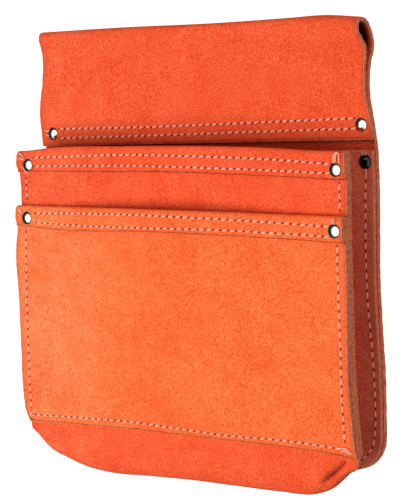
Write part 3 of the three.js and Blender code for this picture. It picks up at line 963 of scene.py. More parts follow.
def gusset_section(side, front_drop, rear, foot):
    """Middle line of the strip at one height: front leg, wall and rear leg."""
    x, drop, inward_x, inward_z = rear
    edges = main_left_edge if side < 0 else main_right_edge
    front_half = float(smooth_read(edges, "drop", "half", max(front_drop, flange_top)))
    front_y = flange_y + float(main_shift(flange_across, front_drop))
    front_y += float(drape(np.array(side * front_half), np.array(-front_drop), front_waves))
    rear_y = rear_layer_y + float(drape(np.array(side * x), np.array(-drop), back_waves))
    front_end = Vector((front_half, front_y, -front_drop))
    front_bend = Vector((panel_half - gusset_inset, front_y, -front_drop))
    rear_end = Vector((x, rear_y, -drop))
    rear_bend = Vector((x + inward_x * gusset_inset, rear_y, -drop + inward_z * gusset_inset))
    on_front_leg = front_bend + Vector((gusset_fold, 0, 0))
    wall_start = front_bend + Vector((0, gusset_fold, 0))
    wall_end = rear_bend + Vector((0, -gusset_fold, 0))
    on_rear_leg = rear_bend.lerp(rear_end, gusset_fold / gusset_inset)
    points = [front_end.lerp(on_front_leg, k / leg_steps) for k in range(leg_steps)]
    points += soft_bend(on_front_leg, front_bend, wall_start)
    for k in range(1, wall_steps):
        point = wall_start.lerp(wall_end, k / wall_steps)
        arch = math.sin(math.pi * k / wall_steps)
        point.x -= web_bow * arch
        point.z -= foot * arch
        points.append(point)
    points += soft_bend(wall_end, rear_bend, on_rear_leg)
    points += [on_rear_leg.lerp(rear_end, k / leg_steps) for k in range(1, leg_steps + 1)]
    return [(side * p.x, p.y, p.z) for p in points]


print("points across a side strip:", 2 * leg_steps + 2 * (bend_steps + 1) + wall_steps - 1)

# %% Both side strips
gusset_top = 89.0
corner_sections = 34
front_margin = 1.0
foot_reach, foot_curve = 6.0, 4
rear_leg_from = -12.0


def gusset_grid(side):
    """Sections from the top of the strip to the end of the round corner."""
    sections = []
    for drop in np.arange(gusset_top, bend_from, row_spacing):
        sections.append(gusset_section(side, drop, rear_edge(drop - bend_from, side), 0.0))
    arc = straight_end - bend_from + corner_radius * math.pi / 2
    for share in np.linspace(0, 1, corner_sections):
        front_drop = mix(bend_from, front_end_drop - front_margin, share)
        foot = foot_reach * share**foot_curve
        sections.append(gusset_section(side, front_drop, rear_edge(share * arc, side), foot))
    sections = np.array(sections)
    return sections if side > 0 else sections[::-1]


gussets = []
for side, name, seed in ((-1, "left", 41), (1, "right", 43)):
    grid = gusset_grid(side)
    rear_row = [{"x": side * point["x"], "drop": point["drop"]} for point in rear_side_row]
    behind = grid[..., 1] > rear_leg_from
    pressed = grid.copy()
    pull_in(pressed, [row_line(rear_row, seam_spacing)], seam_pull, seam_width)
    pull_in(pressed, rivet_line("rear"), rivet_pull, rivet_width)
    grid[behind] = pressed[behind]
    full = np.full(grid.shape[:2], leather / 2)
    gussets.append(leather_sheet(f"gusset_{name}_leather", grid, full, full, seed))
print("side strips:", [strip.name for strip in gussets])

# %% [markdown]
# ## Thread
# A sewing machine leaves short slanted stitches with a dark needle hole at each end. Each stitch
# here is a short closed tube that rises out of one hole and dips into the next, and each hole is
# a flat bead set into the leather, whose dark colour paints the shade in the hole. A bump texture would
# vanish from the side and would not follow the folds. A ray shot at the leather gives the height of each
# hole.

# %% Find the leather under a point
skins = [back_panel, main_pocket, small_pocket, *gussets]
skin_points, skin_faces = [], []
for skin in skins:
    base = len(skin_points)
    skin_points += [v.co.copy() for v in skin.data.vertices]
    skin_faces += [[base + k for k in p.vertices] for p in skin.data.polygons]
all_leather = BVHTree.FromPolygons(skin_points, skin_faces)


def on_leather(x, z, start_y, heading):
    """The first leather met from start_y along +Y or -Y, in frame metres, and its normal."""
    origin = Vector(to_frame((x, start_y, z)))
    place, normal, _, _ = all_leather.ray_cast(origin, Vector((0, heading, 0)))
    if place is None:
        return None
    return place, normal if normal.y * heading < 0 else -normal


print("leather faces to sew on:", len(skin_faces))


# %% Faces between rings, and many small parts in one mesh
def ring_faces(rings, sides, reverse=False):
    """Four-sided faces between rings of points that follow each other."""
    faces = []
    for ring in range(rings - 1):
        for k in range(sides):
            after = (k + 1) % sides
            here, there = ring * sides, (ring + 1) * sides
            if reverse:
                faces.append([here + k, there + k, there + after, here + after])
            else:
                faces.append([here + k, here + after, there + after, there + k])
    return faces


def closed_tube(rings, sides, reverse=False):
    """The same, with a face on each end."""
    first = list(range(sides))
    last = [(rings - 1) * sides + k for k in first]
    ends = [first, last[::-1]] if reverse else [first[::-1], last]
    return ring_faces(rings, sides, reverse) + ends


def add_part(bag, part):
    """Add points and faces to a bag of both."""
    base = len(bag[0])
    bag[0].extend(part[0])
    bag[1].extend([[base + k for k in face] for face in part[1]])


def mesh_piece(name, bag):
    """A smooth mesh object from a bag of points and faces."""
    mesh = bpy.data.meshes.new(name)
    mesh.from_pydata(bag[0], [], bag[1])
    mesh.polygons.foreach_set("use_smooth", np.ones(len(bag[1]), bool))
    mesh.update()
    piece = bpy.data.objects.new(name, mesh)
    bpy.context.scene.collection.objects.link(piece)
    return piece


print("faces of a closed tube of 3 rings:", len(closed_tube(3, 8)))

# %% One stitch
thread_radius = 0.66 * metres
stitch_sink = 0.6 * metres
stitch_lift = 0.36 * metres
stitch_slant = 0.5 * metres
stitch_thin, stitch_swell = 0.5, 0.5
stitch_rings, stitch_sides = 7, 8


def stitch_tube(a, b, normal, lean):
    """Points and faces of one stitch from a to b, leaning by lean times the slant."""
    run = b - a
    ahead = run.normalized()
    aside = ahead.cross(normal).normalized()
    points = []
    for ring in range(stitch_rings):
        s = ring / (stitch_rings - 1)
        swell = math.sin(math.pi * s) ** stitch_swell if 0 < s < 1 else 0.0
        lift = mix(-stitch_sink, stitch_lift, swell)
        centre = a + run * s + normal * lift + aside * (lean * stitch_slant * (2 * s - 1))
        radius = thread_radius * mix(stitch_thin, 1.0, swell)
        for k in range(stitch_sides):
            angle = 2 * math.pi * k / stitch_sides
            reach = aside * (math.cos(angle) * radius) + normal * (math.sin(angle) * radius)
            points.append(centre + reach)
    return points, closed_tube(stitch_rings, stitch_sides, reverse=True)


print("thread, mm thick:", round(2 * thread_radius / metres, 2))

# %% One needle hole
hole_long, hole_wide, hole_deep = 1.15 * metres, 0.75 * metres, 0.2 * metres
hole_rings, hole_sides = 3, 8


def hole_bead(centre, normal, ahead):
    """A small flat closed bead that stands for a needle hole."""
    aside = ahead.cross(normal).normalized()
    points = [centre + normal * hole_deep]
    for ring in range(1, hole_rings + 1):
        tilt = math.pi * ring / (hole_rings + 1)
        for k in range(hole_sides):
            angle = 2 * math.pi * k / hole_sides
            flat = ahead * (math.cos(angle) * hole_long) + aside * (math.sin(angle) * hole_wide)
            points.append(centre + flat * math.sin(tilt) + normal * (hole_deep * math.cos(tilt)))
    points.append(centre - normal * hole_deep)
    faces = [[1 + k for k in face] for face in ring_faces(hole_rings, hole_sides)]
    base = 1 + (hole_rings - 1) * hole_sides
    for k in range(hole_sides):
        after = (k + 1) % hole_sides
        faces.append([0, 1 + after, 1 + k])
        faces.append([base + k, base + after, len(points) - 1])
    return points, faces


print("needle hole, mm long:", round(2 * hole_long / metres, 2))

# %% Sew one row
stitch_share = 0.7
longest_step = 2.0


def sew(row, seam, threads, holes):
    """Sew one row: a stitch between each pair of holes, and a bead in each hole."""
    spots = []
    for x, z in row_line(row, seam["pitch"]):
        found = on_leather(x, z, seam["start"], seam["heading"])
        if found:
            spots.append(found)
    rest = (1 - stitch_share) / 2
    for (here, up_here), (there, up_there) in zip(spots[:-1], spots[1:]):
        if (there - here).length > longest_step * seam["pitch"] * metres:
            continue
        start, end = here.lerp(there, rest), here.lerp(there, 1 - rest)
        normal = (up_here + up_there).normalized()
        add_part(threads, stitch_tube(start, end, normal, seam["lean"]))
    for k, (place, normal) in enumerate(spots):
        ahead = (spots[min(k + 1, len(spots) - 1)][0] - spots[max(k - 1, 0)][0]).normalized()
        add_part(holes, hole_bead(place, normal, ahead))
    return len(spots)


print("share of the pitch that a stitch takes:", stitch_share)

# %% Sew every row that shows
# start is the side that the ray comes from, and heading its way along Y.
front_start, inside_start, behind_start = -90.0, -20.0, 30.0


def mirrored(row):
    """The same row on the other side of the pouch."""
    return [{"x": -point["x"], "drop": point["drop"]} for point in row]


rear_rows = [rear_side_row, mirrored(rear_side_row)]
seams = [
    {"name": "flap_rows", "rows": flap_rows,
     "pitch": stitch_pitch, "start": front_start, "heading": 1, "lean": -1},
    {"name": "main_rows", "rows": main_rows,
     "pitch": stitch_pitch, "start": front_start, "heading": 1, "lean": -1},
    {"name": "small_rows", "rows": [*small_rows, bottom_row],
     "pitch": stitch_pitch, "start": front_start, "heading": 1, "lean": -1},
    {"name": "side_rows", "rows": [*left_side_rows, *right_side_rows],
     "pitch": stitch_pitch, "start": front_start, "heading": 1, "lean": 0.3},
    {"name": "rear_rows", "rows": rear_rows,
     "pitch": rear_pitch, "start": inside_start, "heading": 1, "lean": 0.3},
    {"name": "leg_rows", "rows": [left_side_rows[1], right_side_rows[1]],
     "pitch": stitch_pitch, "start": inside_start, "heading": -1, "lean": 0.3},
    {"name": "back_rows", "rows": [*flap_rows, *rear_rows, rear_bottom_row],
     "pitch": stitch_pitch, "start": behind_start, "heading": -1, "lean": 0.6},
]
thread_pieces, hole_pieces = [], []
for seam in seams:
    threads, holes = ([], []), ([], [])
    sewn = sum(sew(row, seam, threads, holes) for row in seam["rows"])
    thread_pieces.append(mesh_piece(f"thread_{seam['name']}", threads))
    hole_pieces.append(mesh_piece(f"needle_holes_{seam['name']}", holes))
    print(seam["name"], "needle holes:", sewn)

# %% [markdown]
# ## Loose ends of thread
# Where a row starts or stops, the thread is tied off and cut, and a short end or a small loop
# stands up from the leather. Each could be a curve with a round bevel, or a strand of hair. Here
# each is a closed tube swept along a few points, because the same ray as for the stitches then
# gives the leather below each point. The photograph's ends are frayed and these are smooth, which
# only shows close up.

# %% Loose ends of thread, where a row was tied off
# Each point of a path is x, drop and how far the thread stands off the leather.
loose_ends = [
    {"start": front_start, "path": [
        (138.0, 94.6, 0.4), (138.2, 91.0, 1.0), (139.4, 88.6, 1.5),
        (141.4, 88.0, 1.7), (142.6, 90.2, 1.2), (141.6, 94.4, 0.5),
    ]},
    {"start": front_start, "path": [(139.2, 94.0, 0.5), (139.8, 90.8, 1.2), (140.6, 88.4, 1.6)]},
    {"start": front_start, "path": [(137.6, 133.6, 0.4), (137.4, 131.4, 1.0), (138.2, 129.8, 1.5)]},
    {"start": front_start, "path": [(138.8, 133.4, 0.4), (139.0, 131.2, 1.0), (138.6, 129.6, 1.6)]},
    {"start": inside_start, "path": [(139.2, 92.0, 0.4), (138.8, 90.4, 1.2), (139.4, 89.6, 1.6)]},
    {"start": inside_start, "path": [(140.8, 92.0, 0.4), (141.4, 90.6, 1.2), (142.2, 89.6, 1.4)]},
    {"start": inside_start, "path": [(140.2, 100.2, 0.4), (141.2, 102.8, 1.1), (140.8, 106.6, 0.5)]},
    {"start": front_start, "path": [(-140.6, 88.2, 0.5), (-137.6, 88.2, 1.0), (-135.4, 91.2, 0.6)]},
    {"start": front_start, "path": [(-140.2, 91.4, 0.6), (-137.4, 91.6, 1.0), (-134.8, 92.6, 0.5)]},
    {"start": front_start, "path": [(-137.4, 98.0, 0.4), (-136.0, 100.6, 0.9), (-134.4, 103.0, 0.4)]},
    {"start": front_start, "path": [(-142.4, 72.4, 0.5), (-140.2, 73.6, 0.9), (-137.8, 72.6, 0.5)]},
    {"start": front_start, "path": [(-141.4, 75.8, 0.5), (-139.6, 76.8, 0.9), (-137.6, 76.6, 0.4)]},
    {"start": front_start, "path": [(-139.8, 128.6, 0.5), (-137.0, 129.4, 0.9), (-135.6, 132.0, 0.5)]},
    {"start": front_start, "path": [(-141.8, 278.2, 0.5), (-139.8, 280.2, 1.0), (-137.0, 282.0, 0.4)]},
    {"start": front_start, "path": [(-141.6, 282.4, 0.5), (-139.6, 279.8, 1.1), (-136.8, 278.6, 0.4)]},
    {"start": front_start, "path": [
        (132.6, 280.9, 0.4), (136.4, 279.8, 1.1), (140.4, 280.2, 1.1), (143.0, 283.4, 0.6),
    ]},
    {"start": front_start, "path": [(134.4, 282.4, 0.4), (138.0, 281.2, 1.2), (141.4, 283.2, 0.6)]},
    {"start": inside_start, "path": [(129.6, 293.4, 0.4), (127.6, 290.2, 1.3), (127.2, 287.6, 1.6)]},
]
print("loose ends:", len(loose_ends))

# %% Sweep a tube along each of them
end_spacing = 0.8
end_sides = 8
end_radius, end_thin = 0.5 * metres, 0.55


def loose_thread(end):
    """A closed tube that follows the points of one loose end above the leather."""
    places = []
    for x, drop, lift in end["path"]:
        spot, _ = on_leather(x, -drop, end["start"], 1)
        places.append(tuple(spot / metres + Vector((0, -lift, 0))))
    line = smooth_line(places, end_spacing)
    last = len(line) - 1
    points = []
    for k, place in enumerate(line):
        ahead = Vector(line[min(k + 1, last)] - line[max(k - 1, 0)]).normalized()
        aside = ahead.cross(Vector((0, 1, 0))).normalized()
        other = ahead.cross(aside)
        radius = end_radius * (end_thin if k in (0, last) else 1.0)
        for side in range(end_sides):
            angle = 2 * math.pi * side / end_sides
            reach = aside * math.cos(angle) + other * math.sin(angle)
            points.append(Vector(place) * metres + reach * radius)
    return points, closed_tube(len(line), end_sides)


bag = ([], [])
for end in loose_ends:
    add_part(bag, loose_thread(end))
thread_pieces.append(mesh_piece("thread_loose_ends", bag))
print("faces of the loose ends:", len(bag[1]))

# %% [markdown]
# ## Rivets
# Eight nickel rivets: a domed cap in front and a small rolled end behind. A cap is round about
# its post, so it is turned like a pot: a short profile of radius and height, spun about the axis.
# A flattened ball would do from far away, but it has no rim. This cap is finer than the packed
# solid, with a rolled rim that bites into the leather.

# %% Turn a cap from its profile
cap_profile = [
    {"radius": 0.0, "height": 2.0}, {"radius": 1.2, "height": 1.94}, {"radius": 2.4, "height": 1.7},
    {"radius": 3.5, "height": 1.3}, {"radius": 4.4, "height": 0.8}, {"radius": 4.86, "height": 0.3},
    {"radius": 4.9, "height": 0.0}, {"radius": 4.6, "height": -0.35}, {"radius": 3.0, "height": -0.5},
    {"radius": 0.0, "height": -0.5},
]
tail_profile = [
    {"radius": 0.0, "height": 0.15}, {"radius": 0.9, "height": 0.2}, {"radius": 1.3, "height": 0.75},
    {"radius": 1.8, "height": 0.95}, {"radius": 2.5, "height": 0.8}, {"radius": 3.0, "height": 0.3},
    {"radius": 3.0, "height": -0.2}, {"radius": 0.0, "height": -0.3},
]
turn_steps = 40


def turned(profile, centre, heading):
    """A closed turned piece on an axis along Y, its top towards heading."""
    points = []
    for row in profile:
        radius, height = row["radius"] * metres, row["height"] * metres
        for k in range(turn_steps):
            angle = 2 * math.pi * k / turn_steps * -heading
            aside, above = math.cos(angle) * radius, math.sin(angle) * radius
            points.append(centre + Vector((aside, heading * height, above)))
    return points, ring_faces(len(profile), turn_steps)


print("cap, mm wide:", 2 * max(row["radius"] for row in cap_profile))

# %% Set each rivet on the leather, its cap in front and its end behind
rivets = []
for place in rivet_places:
    name = f"rivet_{place['name']}_{place['side']}"
    start = inside_start if place["name"] == "rear" else front_start
    front_spot, _ = on_leather(place["x"], -place["drop"], start, 1)
    behind = behind_start if place["name"] in ("flap", "rear") else inside_start
    back_spot, _ = on_leather(place["x"], -place["drop"], behind, -1)
    bag = ([], [])
    add_part(bag, turned(cap_profile, front_spot, -1))
    add_part(bag, turned(tail_profile, back_spot, 1))
    rivets.append(mesh_piece(f"{name}_nickel", bag))
    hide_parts(name)
print("rivets:", len(rivets))

# %% [markdown]
# ## Suede
# Suede has three scales of detail: cloudy patches where the dye took unevenly, a soft mottling
# from the nap being brushed one way or the other, and a fine grain of fibres. A picture laid on
# the panels could show them, but it would blur close up and would have to be unwrapped. One node
# group makes them all from noise instead, and every leather piece uses it with its own colours.
# It also paints light on the left of the pouch so that it is paler there, wears the raw
# edges, and paints shade where the sheets mark it.


# %% Helpers for node groups
def new_group(name, inputs, outputs):
    """An empty shader node group with named sockets."""
    group = bpy.data.node_groups.new(name, "ShaderNodeTree")
    for label, kind, value in inputs:
        socket = group.interface.new_socket(name=label, in_out="INPUT", socket_type=kind)
        socket.default_value = value
    for label, kind in outputs:
        group.interface.new_socket(name=label, in_out="OUTPUT", socket_type=kind)
    enter = group.nodes.new("NodeGroupInput")
    leave = group.nodes.new("NodeGroupOutput")
    return group, enter, leave


def place_group(tree, group, values):
    """A group's node in a material, with its own values."""
    node = tree.nodes.new("ShaderNodeGroup")
    node.node_tree = group
    for label, value in values.items():
        node.inputs[label].default_value = value
    return node


def feed(tree, value, socket):
    """Link a socket, or set a constant."""
    if isinstance(value, bpy.types.NodeSocket):
        tree.links.new(value, socket)
    else:
        socket.default_value = value


print("node groups so far:", len(bpy.data.node_groups))


# %% Helpers for single nodes
def noise(tree, vector, scale, detail, roughness):
    """Soft noise from 0 to 1."""
    node = tree.nodes.new("ShaderNodeTexNoise")
    node.inputs["Detail"].default_value = detail
    node.inputs["Roughness"].default_value = roughness
    feed(tree, vector, node.inputs["Vector"])
    feed(tree, scale, node.inputs["Scale"])
    return node.outputs[0]


def stretch(tree, value, low_in, high_in, low_out=0.0, high_out=1.0):
    """A value moved from one range to another, held at both ends."""
    node = tree.nodes.new("ShaderNodeMapRange")
    feed(tree, value, node.inputs["Value"])
    feed(tree, low_in, node.inputs["From Min"])
    feed(tree, high_in, node.inputs["From Max"])
    feed(tree, low_out, node.inputs["To Min"])
    feed(tree, high_out, node.inputs["To Max"])
    return node.outputs["Result"]


def blend_colour(tree, share, a, b, kind="MIX"):
    """Colour b over colour a by a share."""
    node = tree.nodes.new("ShaderNodeMix")
    node.data_type = "RGBA"
    node.blend_type = kind
    feed(tree, share, node.inputs[0])
    feed(tree, a, node.inputs[6])
    feed(tree, b, node.inputs[7])
    return node.outputs[2]


def calc(tree, kind, a, b):
    """One step of arithmetic with two values."""
    node = tree.nodes.new("ShaderNodeMath")
    node.operation = kind
    feed(tree, a, node.inputs[0])
    feed(tree, b, node.inputs[1])
    return node.outputs[0]


print("node kinds wrapped:", [helper.__name__ for helper in (noise, stretch, blend_colour, calc)])


# %% Colours as seen on a screen
def linear(red, green, blue):
    """A colour as seen on a screen, 0 to 255, as the linear colour that shaders use."""
    values = []
    for value in (red, green, blue):
        share = value / 255
        values.append(share / 12.92 if share < 0.04045 else ((share + 0.055) / 1.055) ** 2.4)
    return (*values, 1.0)


print("pale thread as linear colour:", [round(v, 3) for v in linear(245, 175, 155)])

# %% The suede group and its noises
suede, enter, leave = new_group(
    "suede nap",
    [
        ("Colour", "NodeSocketColor", linear(240, 88, 50)),
        ("Pale Colour", "NodeSocketColor", linear(250, 112, 70)),
        ("Deep Colour", "NodeSocketColor", linear(215, 62, 32)),
        ("Edge Colour", "NodeSocketColor", linear(140, 50, 30)),
        ("Painted Left Light", "NodeSocketColor", (1.0, 1.14, 1.26, 1.0)),
        ("Cloud Scale", "NodeSocketFloat", 22.0),
        ("Grain Scale", "NodeSocketFloat", 880.0),
        ("Edge", "NodeSocketFloat", 0.0),
        ("Painted Shade", "NodeSocketFloat", 0.0),
    ],
    [("Color", "NodeSocketColor"), ("Roughness", "NodeSocketFloat"), ("Height", "NodeSocketFloat")],
)
place = suede.nodes.new("ShaderNodeTexCoord").outputs["Object"]
cloud = noise(suede, place, enter.outputs["Cloud Scale"], detail=3.0, roughness=0.6)
mottle = noise(suede, place, scale=60.0, detail=5.0, roughness=0.7)
grain = noise(suede, place, enter.outputs["Grain Scale"], detail=3.0, roughness=0.7)
squeeze = suede.nodes.new("ShaderNodeMapping")
squeeze.inputs["Scale"].default_value = (1.0, 1.0, 0.3)
squeeze.inputs["Rotation"].default_value = (0.0, 0.5, 0.0)
suede.links.new(place, squeeze.inputs["Vector"])
hairs = noise(suede, squeeze.outputs[0], scale=1500.0, detail=1.0, roughness=0.5)
print("suede group inputs:", [socket.name for socket in enter.outputs if socket.name])

# %% Colour of the nap: clouds, mottling and grain
# Each range is where a noise starts to show and where it shows in full.
cloud_range = (0.32, 0.62)
mottle_range, mottle_most = (0.36, 0.68), 0.6
grain_range = (0.42, 0.58)
grain_dark, grain_pale = (0.83, 0.58, 0.5, 1.0), (1.03, 1.3, 1.36, 1.0)

clouded = stretch(suede, cloud, *cloud_range)
colour = blend_colour(suede, clouded, enter.outputs["Deep Colour"], enter.outputs["Colour"])
lift = stretch(suede, mottle, *mottle_range, high_out=mottle_most)
colour = blend_colour(suede, lift, colour, enter.outputs["Pale Colour"])
grain_tint = blend_colour(suede, stretch(suede, grain, *grain_range), grain_dark, grain_pale)
colour = blend_colour(suede, 1.0, colour, grain_tint, "MULTIPLY")
print("suede group nodes so far:", len(suede.nodes))

# %% Colour of the nap: painted light on the left, wear, and painted shade
# The first two numbers of a patchy range are of the noise, and the last two are what it gives.
left_from, left_full = -0.03, -0.125
left_light_patches = (0.3, 0.6, 0.75, 1.1)
worn_patches = (0.3, 0.6, 0.35, 0.9)
shade_colour = linear(22, 26, 26)

sides = suede.nodes.new("ShaderNodeSeparateXYZ")
suede.links.new(place, sides.inputs[0])
# Painted light: the left of the pouch is made paler, as if more light fell there.
to_left = stretch(suede, sides.outputs["X"], left_from, left_full)
left_light = calc(suede, "MULTIPLY", to_left, stretch(suede, cloud, *left_light_patches))
colour = blend_colour(suede, left_light, colour, enter.outputs["Painted Left Light"], "MULTIPLY")
worn = calc(suede, "MULTIPLY", enter.outputs["Edge"], stretch(suede, mottle, *worn_patches))
colour = blend_colour(suede, worn, colour, enter.outputs["Edge Colour"])
# Painted shade, wherever the mesh's mask asks for it.
colour = blend_colour(suede, enter.outputs["Painted Shade"], colour, shade_colour)
suede.links.new(colour, leave.inputs["Color"])
print("suede group nodes for colour:", len(suede.nodes))

# %% Roughness and height of the nap
rough_grain = (0.2, 0.8, 0.86, 1.0)
mottle_share, grain_share, hair_share = 0.5, 0.4, 0.25

suede.links.new(stretch(suede, grain, *rough_grain), leave.inputs["Roughness"])
mottle_height = calc(suede, "MULTIPLY", mottle, mottle_share)
height = calc(suede, "ADD", mottle_height, calc(suede, "MULTIPLY", grain, grain_share))
height = calc(suede, "ADD", height, calc(suede, "MULTIPLY", hairs, hair_share))
suede.links.new(height, leave.inputs["Height"])
print("suede group nodes:", len(suede.nodes))

# %% A suede material
nap_bump, nap_depth = 0.8, 0.0008
sheen_roughness = 0.5


def plain_material(name, roughness, specular):
    """A new material with its shader's roughness and gloss set."""
    material = bpy.data.materials.new(name)
    material.use_nodes = True
    shader = material.node_tree.nodes["Principled BSDF"]
    shader.inputs["Roughness"].default_value = roughness
    shader.inputs["Specular IOR Level"].default_value = specular
    return material, material.node_tree, shader


def bump_from(tree, height, shader, strength, depth):
    """A height that bends the shader's normal through a bump."""
    bump = tree.nodes.new("ShaderNodeBump")
    bump.inputs["Strength"].default_value = strength
    bump.inputs["Distance"].default_value = depth
    tree.links.new(height, bump.inputs["Height"])
    tree.links.new(bump.outputs[0], shader.inputs["Normal"])


def suede_material(name, values, sheen):
    """Suede with its own colours. The masks of edge wear and painted shade come from the mesh."""
    material, tree, shader = plain_material(name, 0.9, 0.0)
    nap = place_group(tree, suede, values)
    for label, attribute in (("Edge", "edge_near"), ("Painted Shade", "painted_shade")):
        mask = tree.nodes.new("ShaderNodeAttribute")
        mask.attribute_name = attribute
        tree.links.new(mask.outputs["Fac"], nap.inputs[label])
    bump_from(tree, nap.outputs["Height"], shader, nap_bump, nap_depth)
    tree.links.new(nap.outputs["Color"], shader.inputs["Base Color"])
    tree.links.new(nap.outputs["Roughness"], shader.inputs["Roughness"])
    shader.inputs["Sheen Weight"].default_value = sheen
    shader.inputs["Sheen Roughness"].default_value = sheen_roughness
    shader.inputs["Sheen Tint"].default_value = linear(255, 170, 130)
    return material


print("depth of the nap's bump, mm:", nap_depth / metres)

# %% Three suedes: the two large panels, the small pocket and the side strips
red_suede = suede_material("red suede", {
    "Colour": linear(240, 88, 50), "Pale Colour": linear(246, 104, 66),
    "Deep Colour": linear(232, 78, 42), "Edge Colour": linear(190, 66, 40),
    "Cloud Scale": 22.0,
}, sheen=0.06)
orange_suede = suede_material("orange suede", {
    "Colour": linear(244, 106, 56), "Pale Colour": linear(248, 124, 74),
    "Deep Colour": linear(240, 94, 46), "Edge Colour": linear(200, 80, 46),
    "Painted Left Light": (1.0, 1.34, 1.62, 1.0), "Cloud Scale": 18.0,
}, sheen=0.06)
side_suede = suede_material("side suede", {
    "Colour": linear(236, 115, 88), "Pale Colour": linear(242, 131, 102),
    "Deep Colour": linear(220, 99, 74), "Edge Colour": linear(200, 106, 78),
    "Cloud Scale": 26.0,
}, sheen=0.1)
print("suede materials:", red_suede.name, orange_suede.name, side_suede.name)

# %% [markdown]
# ## Cut edges, thread and needle holes
# The dye is strongest on the two faces, so a cut edge is paler and fibrous. The thread is a pale
# pinkish cotton, and its needle holes get a dark red that paints the shade in each hole. Each could have a
# texture of its own, but all three are fine specks of two near colours, so one node group serves them with
# other colours and another size of speck.

# %% The speckle group
speckle, enter, leave = new_group(
    "fine speckle",
    [
        ("Scale", "NodeSocketFloat", 900.0),
        ("Dark Colour", "NodeSocketColor", linear(120, 26, 18)),
        ("Pale Colour", "NodeSocketColor", linear(160, 42, 28)),
        ("From", "NodeSocketFloat", 0.3),
        ("To", "NodeSocketFloat", 0.7),
    ],
    [("Color", "NodeSocketColor"), ("Height", "NodeSocketFloat")],
)
place = speckle.nodes.new("ShaderNodeTexCoord").outputs["Object"]
specks = noise(speckle, place, enter.outputs["Scale"], detail=4.0, roughness=0.7)
share = stretch(speckle, specks, enter.outputs["From"], enter.outputs["To"])
colour = blend_colour(speckle, share, enter.outputs["Dark Colour"], enter.outputs["Pale Colour"])
speckle.links.new(colour, leave.inputs["Color"])
speckle.links.new(specks, leave.inputs["Height"])
print("speckle group nodes:", len(speckle.nodes))

# %% Cut edge, thread and needle hole
speckle_bump = 0.6


def speckled_material(name, roughness, specular, values, depth):
    """A dull material whose colour and bump come from the speckle group."""
    material, tree, shader = plain_material(name, roughness, specular)
    specks = place_group(tree, speckle, values)
    tree.links.new(specks.outputs["Color"], shader.inputs["Base Color"])
    bump_from(tree, specks.outputs["Height"], shader, speckle_bump, depth)
    return material


cut_edge = speckled_material("cut edge", 0.95, 0.1, {
    "Scale": 420.0, "From": 0.35, "To": 0.65,
    "Dark Colour": linear(204, 98, 68), "Pale Colour": linear(246, 150, 110),
}, depth=0.0008)
thread = speckled_material("pale thread", 0.7, 0.3, {
    "Scale": 1800.0, "From": 0.3, "To": 0.7,
    "Dark Colour": linear(246, 146, 120), "Pale Colour": linear(255, 200, 178),
}, depth=0.0002)
# The needle holes' dark red is painted shade, the shadow inside each hole.
needle_hole_shade = speckled_material("needle hole", 0.9, 0.1, {
    "Scale": 900.0, "From": 0.3, "To": 0.7,
    "Dark Colour": linear(120, 26, 18), "Pale Colour": linear(160, 42, 28),
}, depth=0.0002)
print("small finishes:", cut_edge.name, thread.name, needle_hole_shade.name)

# %% [markdown]
# ## Nickel
# The caps in front are bright nickel plate. The two on the rear legs of the side strips are the
# same nickel with painted shade: a dark copy, for the recess they sit in. Faint scratches could be cut
# into the cap, but on a cap nine millimetres wide they only show as a reflection that is sharper here and
# softer there. So one node group changes the colour and the roughness a little, and both nickels use it.

# %% The scratch group
scratch_range = (0.4, 0.7)
scratch_rough = (0.3, 0.7, 0.08, 0.2)

scratch, enter, leave = new_group(
    "nickel scratches",
    [
        ("Dark Colour", "NodeSocketColor", linear(214, 220, 214)),
        ("Pale Colour", "NodeSocketColor", linear(236, 238, 232)),
    ],
    [("Color", "NodeSocketColor"), ("Roughness", "NodeSocketFloat")],
)
place = scratch.nodes.new("ShaderNodeTexCoord").outputs["Object"]
marks = noise(scratch, place, scale=500.0, detail=6.0, roughness=0.7)
share = stretch(scratch, marks, *scratch_range)
colour = blend_colour(scratch, share, enter.outputs["Dark Colour"], enter.outputs["Pale Colour"])
scratch.links.new(colour, leave.inputs["Color"])
scratch.links.new(stretch(scratch, marks, *scratch_rough), leave.inputs["Roughness"])
print("scratch group nodes:", len(scratch.nodes))


# %% Bright nickel, and a dark copy with painted shade
def nickel_material(name, dark, pale):
    """Nickel whose colour and roughness come from the scratch group."""
    material, tree, shader = plain_material(name, 0.15, 0.5)
    shader.inputs["Metallic"].default_value = 1.0
    marks = place_group(tree, scratch, {"Dark Colour": dark, "Pale Colour": pale})
    tree.links.new(marks.outputs["Color"], shader.inputs["Base Color"])
    tree.links.new(marks.outputs["Roughness"], shader.inputs["Roughness"])
    return material


bright_nickel = nickel_material("bright nickel", linear(214, 220, 214), linear(236, 238, 232))
shaded_nickel = nickel_material("shaded nickel", linear(40, 54, 50), linear(58, 72, 66))
print("nickels:", bright_nickel.name, shaded_nickel.name)

# %% [markdown]
# ## The pieces on the frame
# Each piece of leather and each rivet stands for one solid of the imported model, so it takes that
# solid's place. The thread and the needle holes have no solid, so they are extra. Nothing on the
# pouch is hinged, so every piece rides on the one body. Joining all of it to one mesh would be
# simpler, but then no piece could be swapped or given another finish.

# %% Put each finish on its pieces
finishes = [
    {"piece": back_panel, "face": red_suede, "node": "back_panel", "slot": "suede_red"},
    {"piece": main_pocket, "face": red_suede, "node": "main_pocket", "slot": "suede_red"},
    {"piece": small_pocket, "face": orange_suede, "node": "small_pocket", "slot": "suede_orange"},
    {"piece": gussets[0], "face": side_suede, "node": "gusset_left", "slot": "suede_gusset"},
    {"piece": gussets[1], "face": side_suede, "node": "gusset_right", "slot": "suede_gusset"},
]
for finish in finishes:
    finish["piece"].data.materials.append(finish["face"])
    finish["piece"].data.materials.append(cut_edge)
    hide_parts(finish["node"])
for pieces, material in ((thread_pieces, thread), (hole_pieces, needle_hole_shade)):
    for piece in pieces:
        piece.data.materials.append(material)
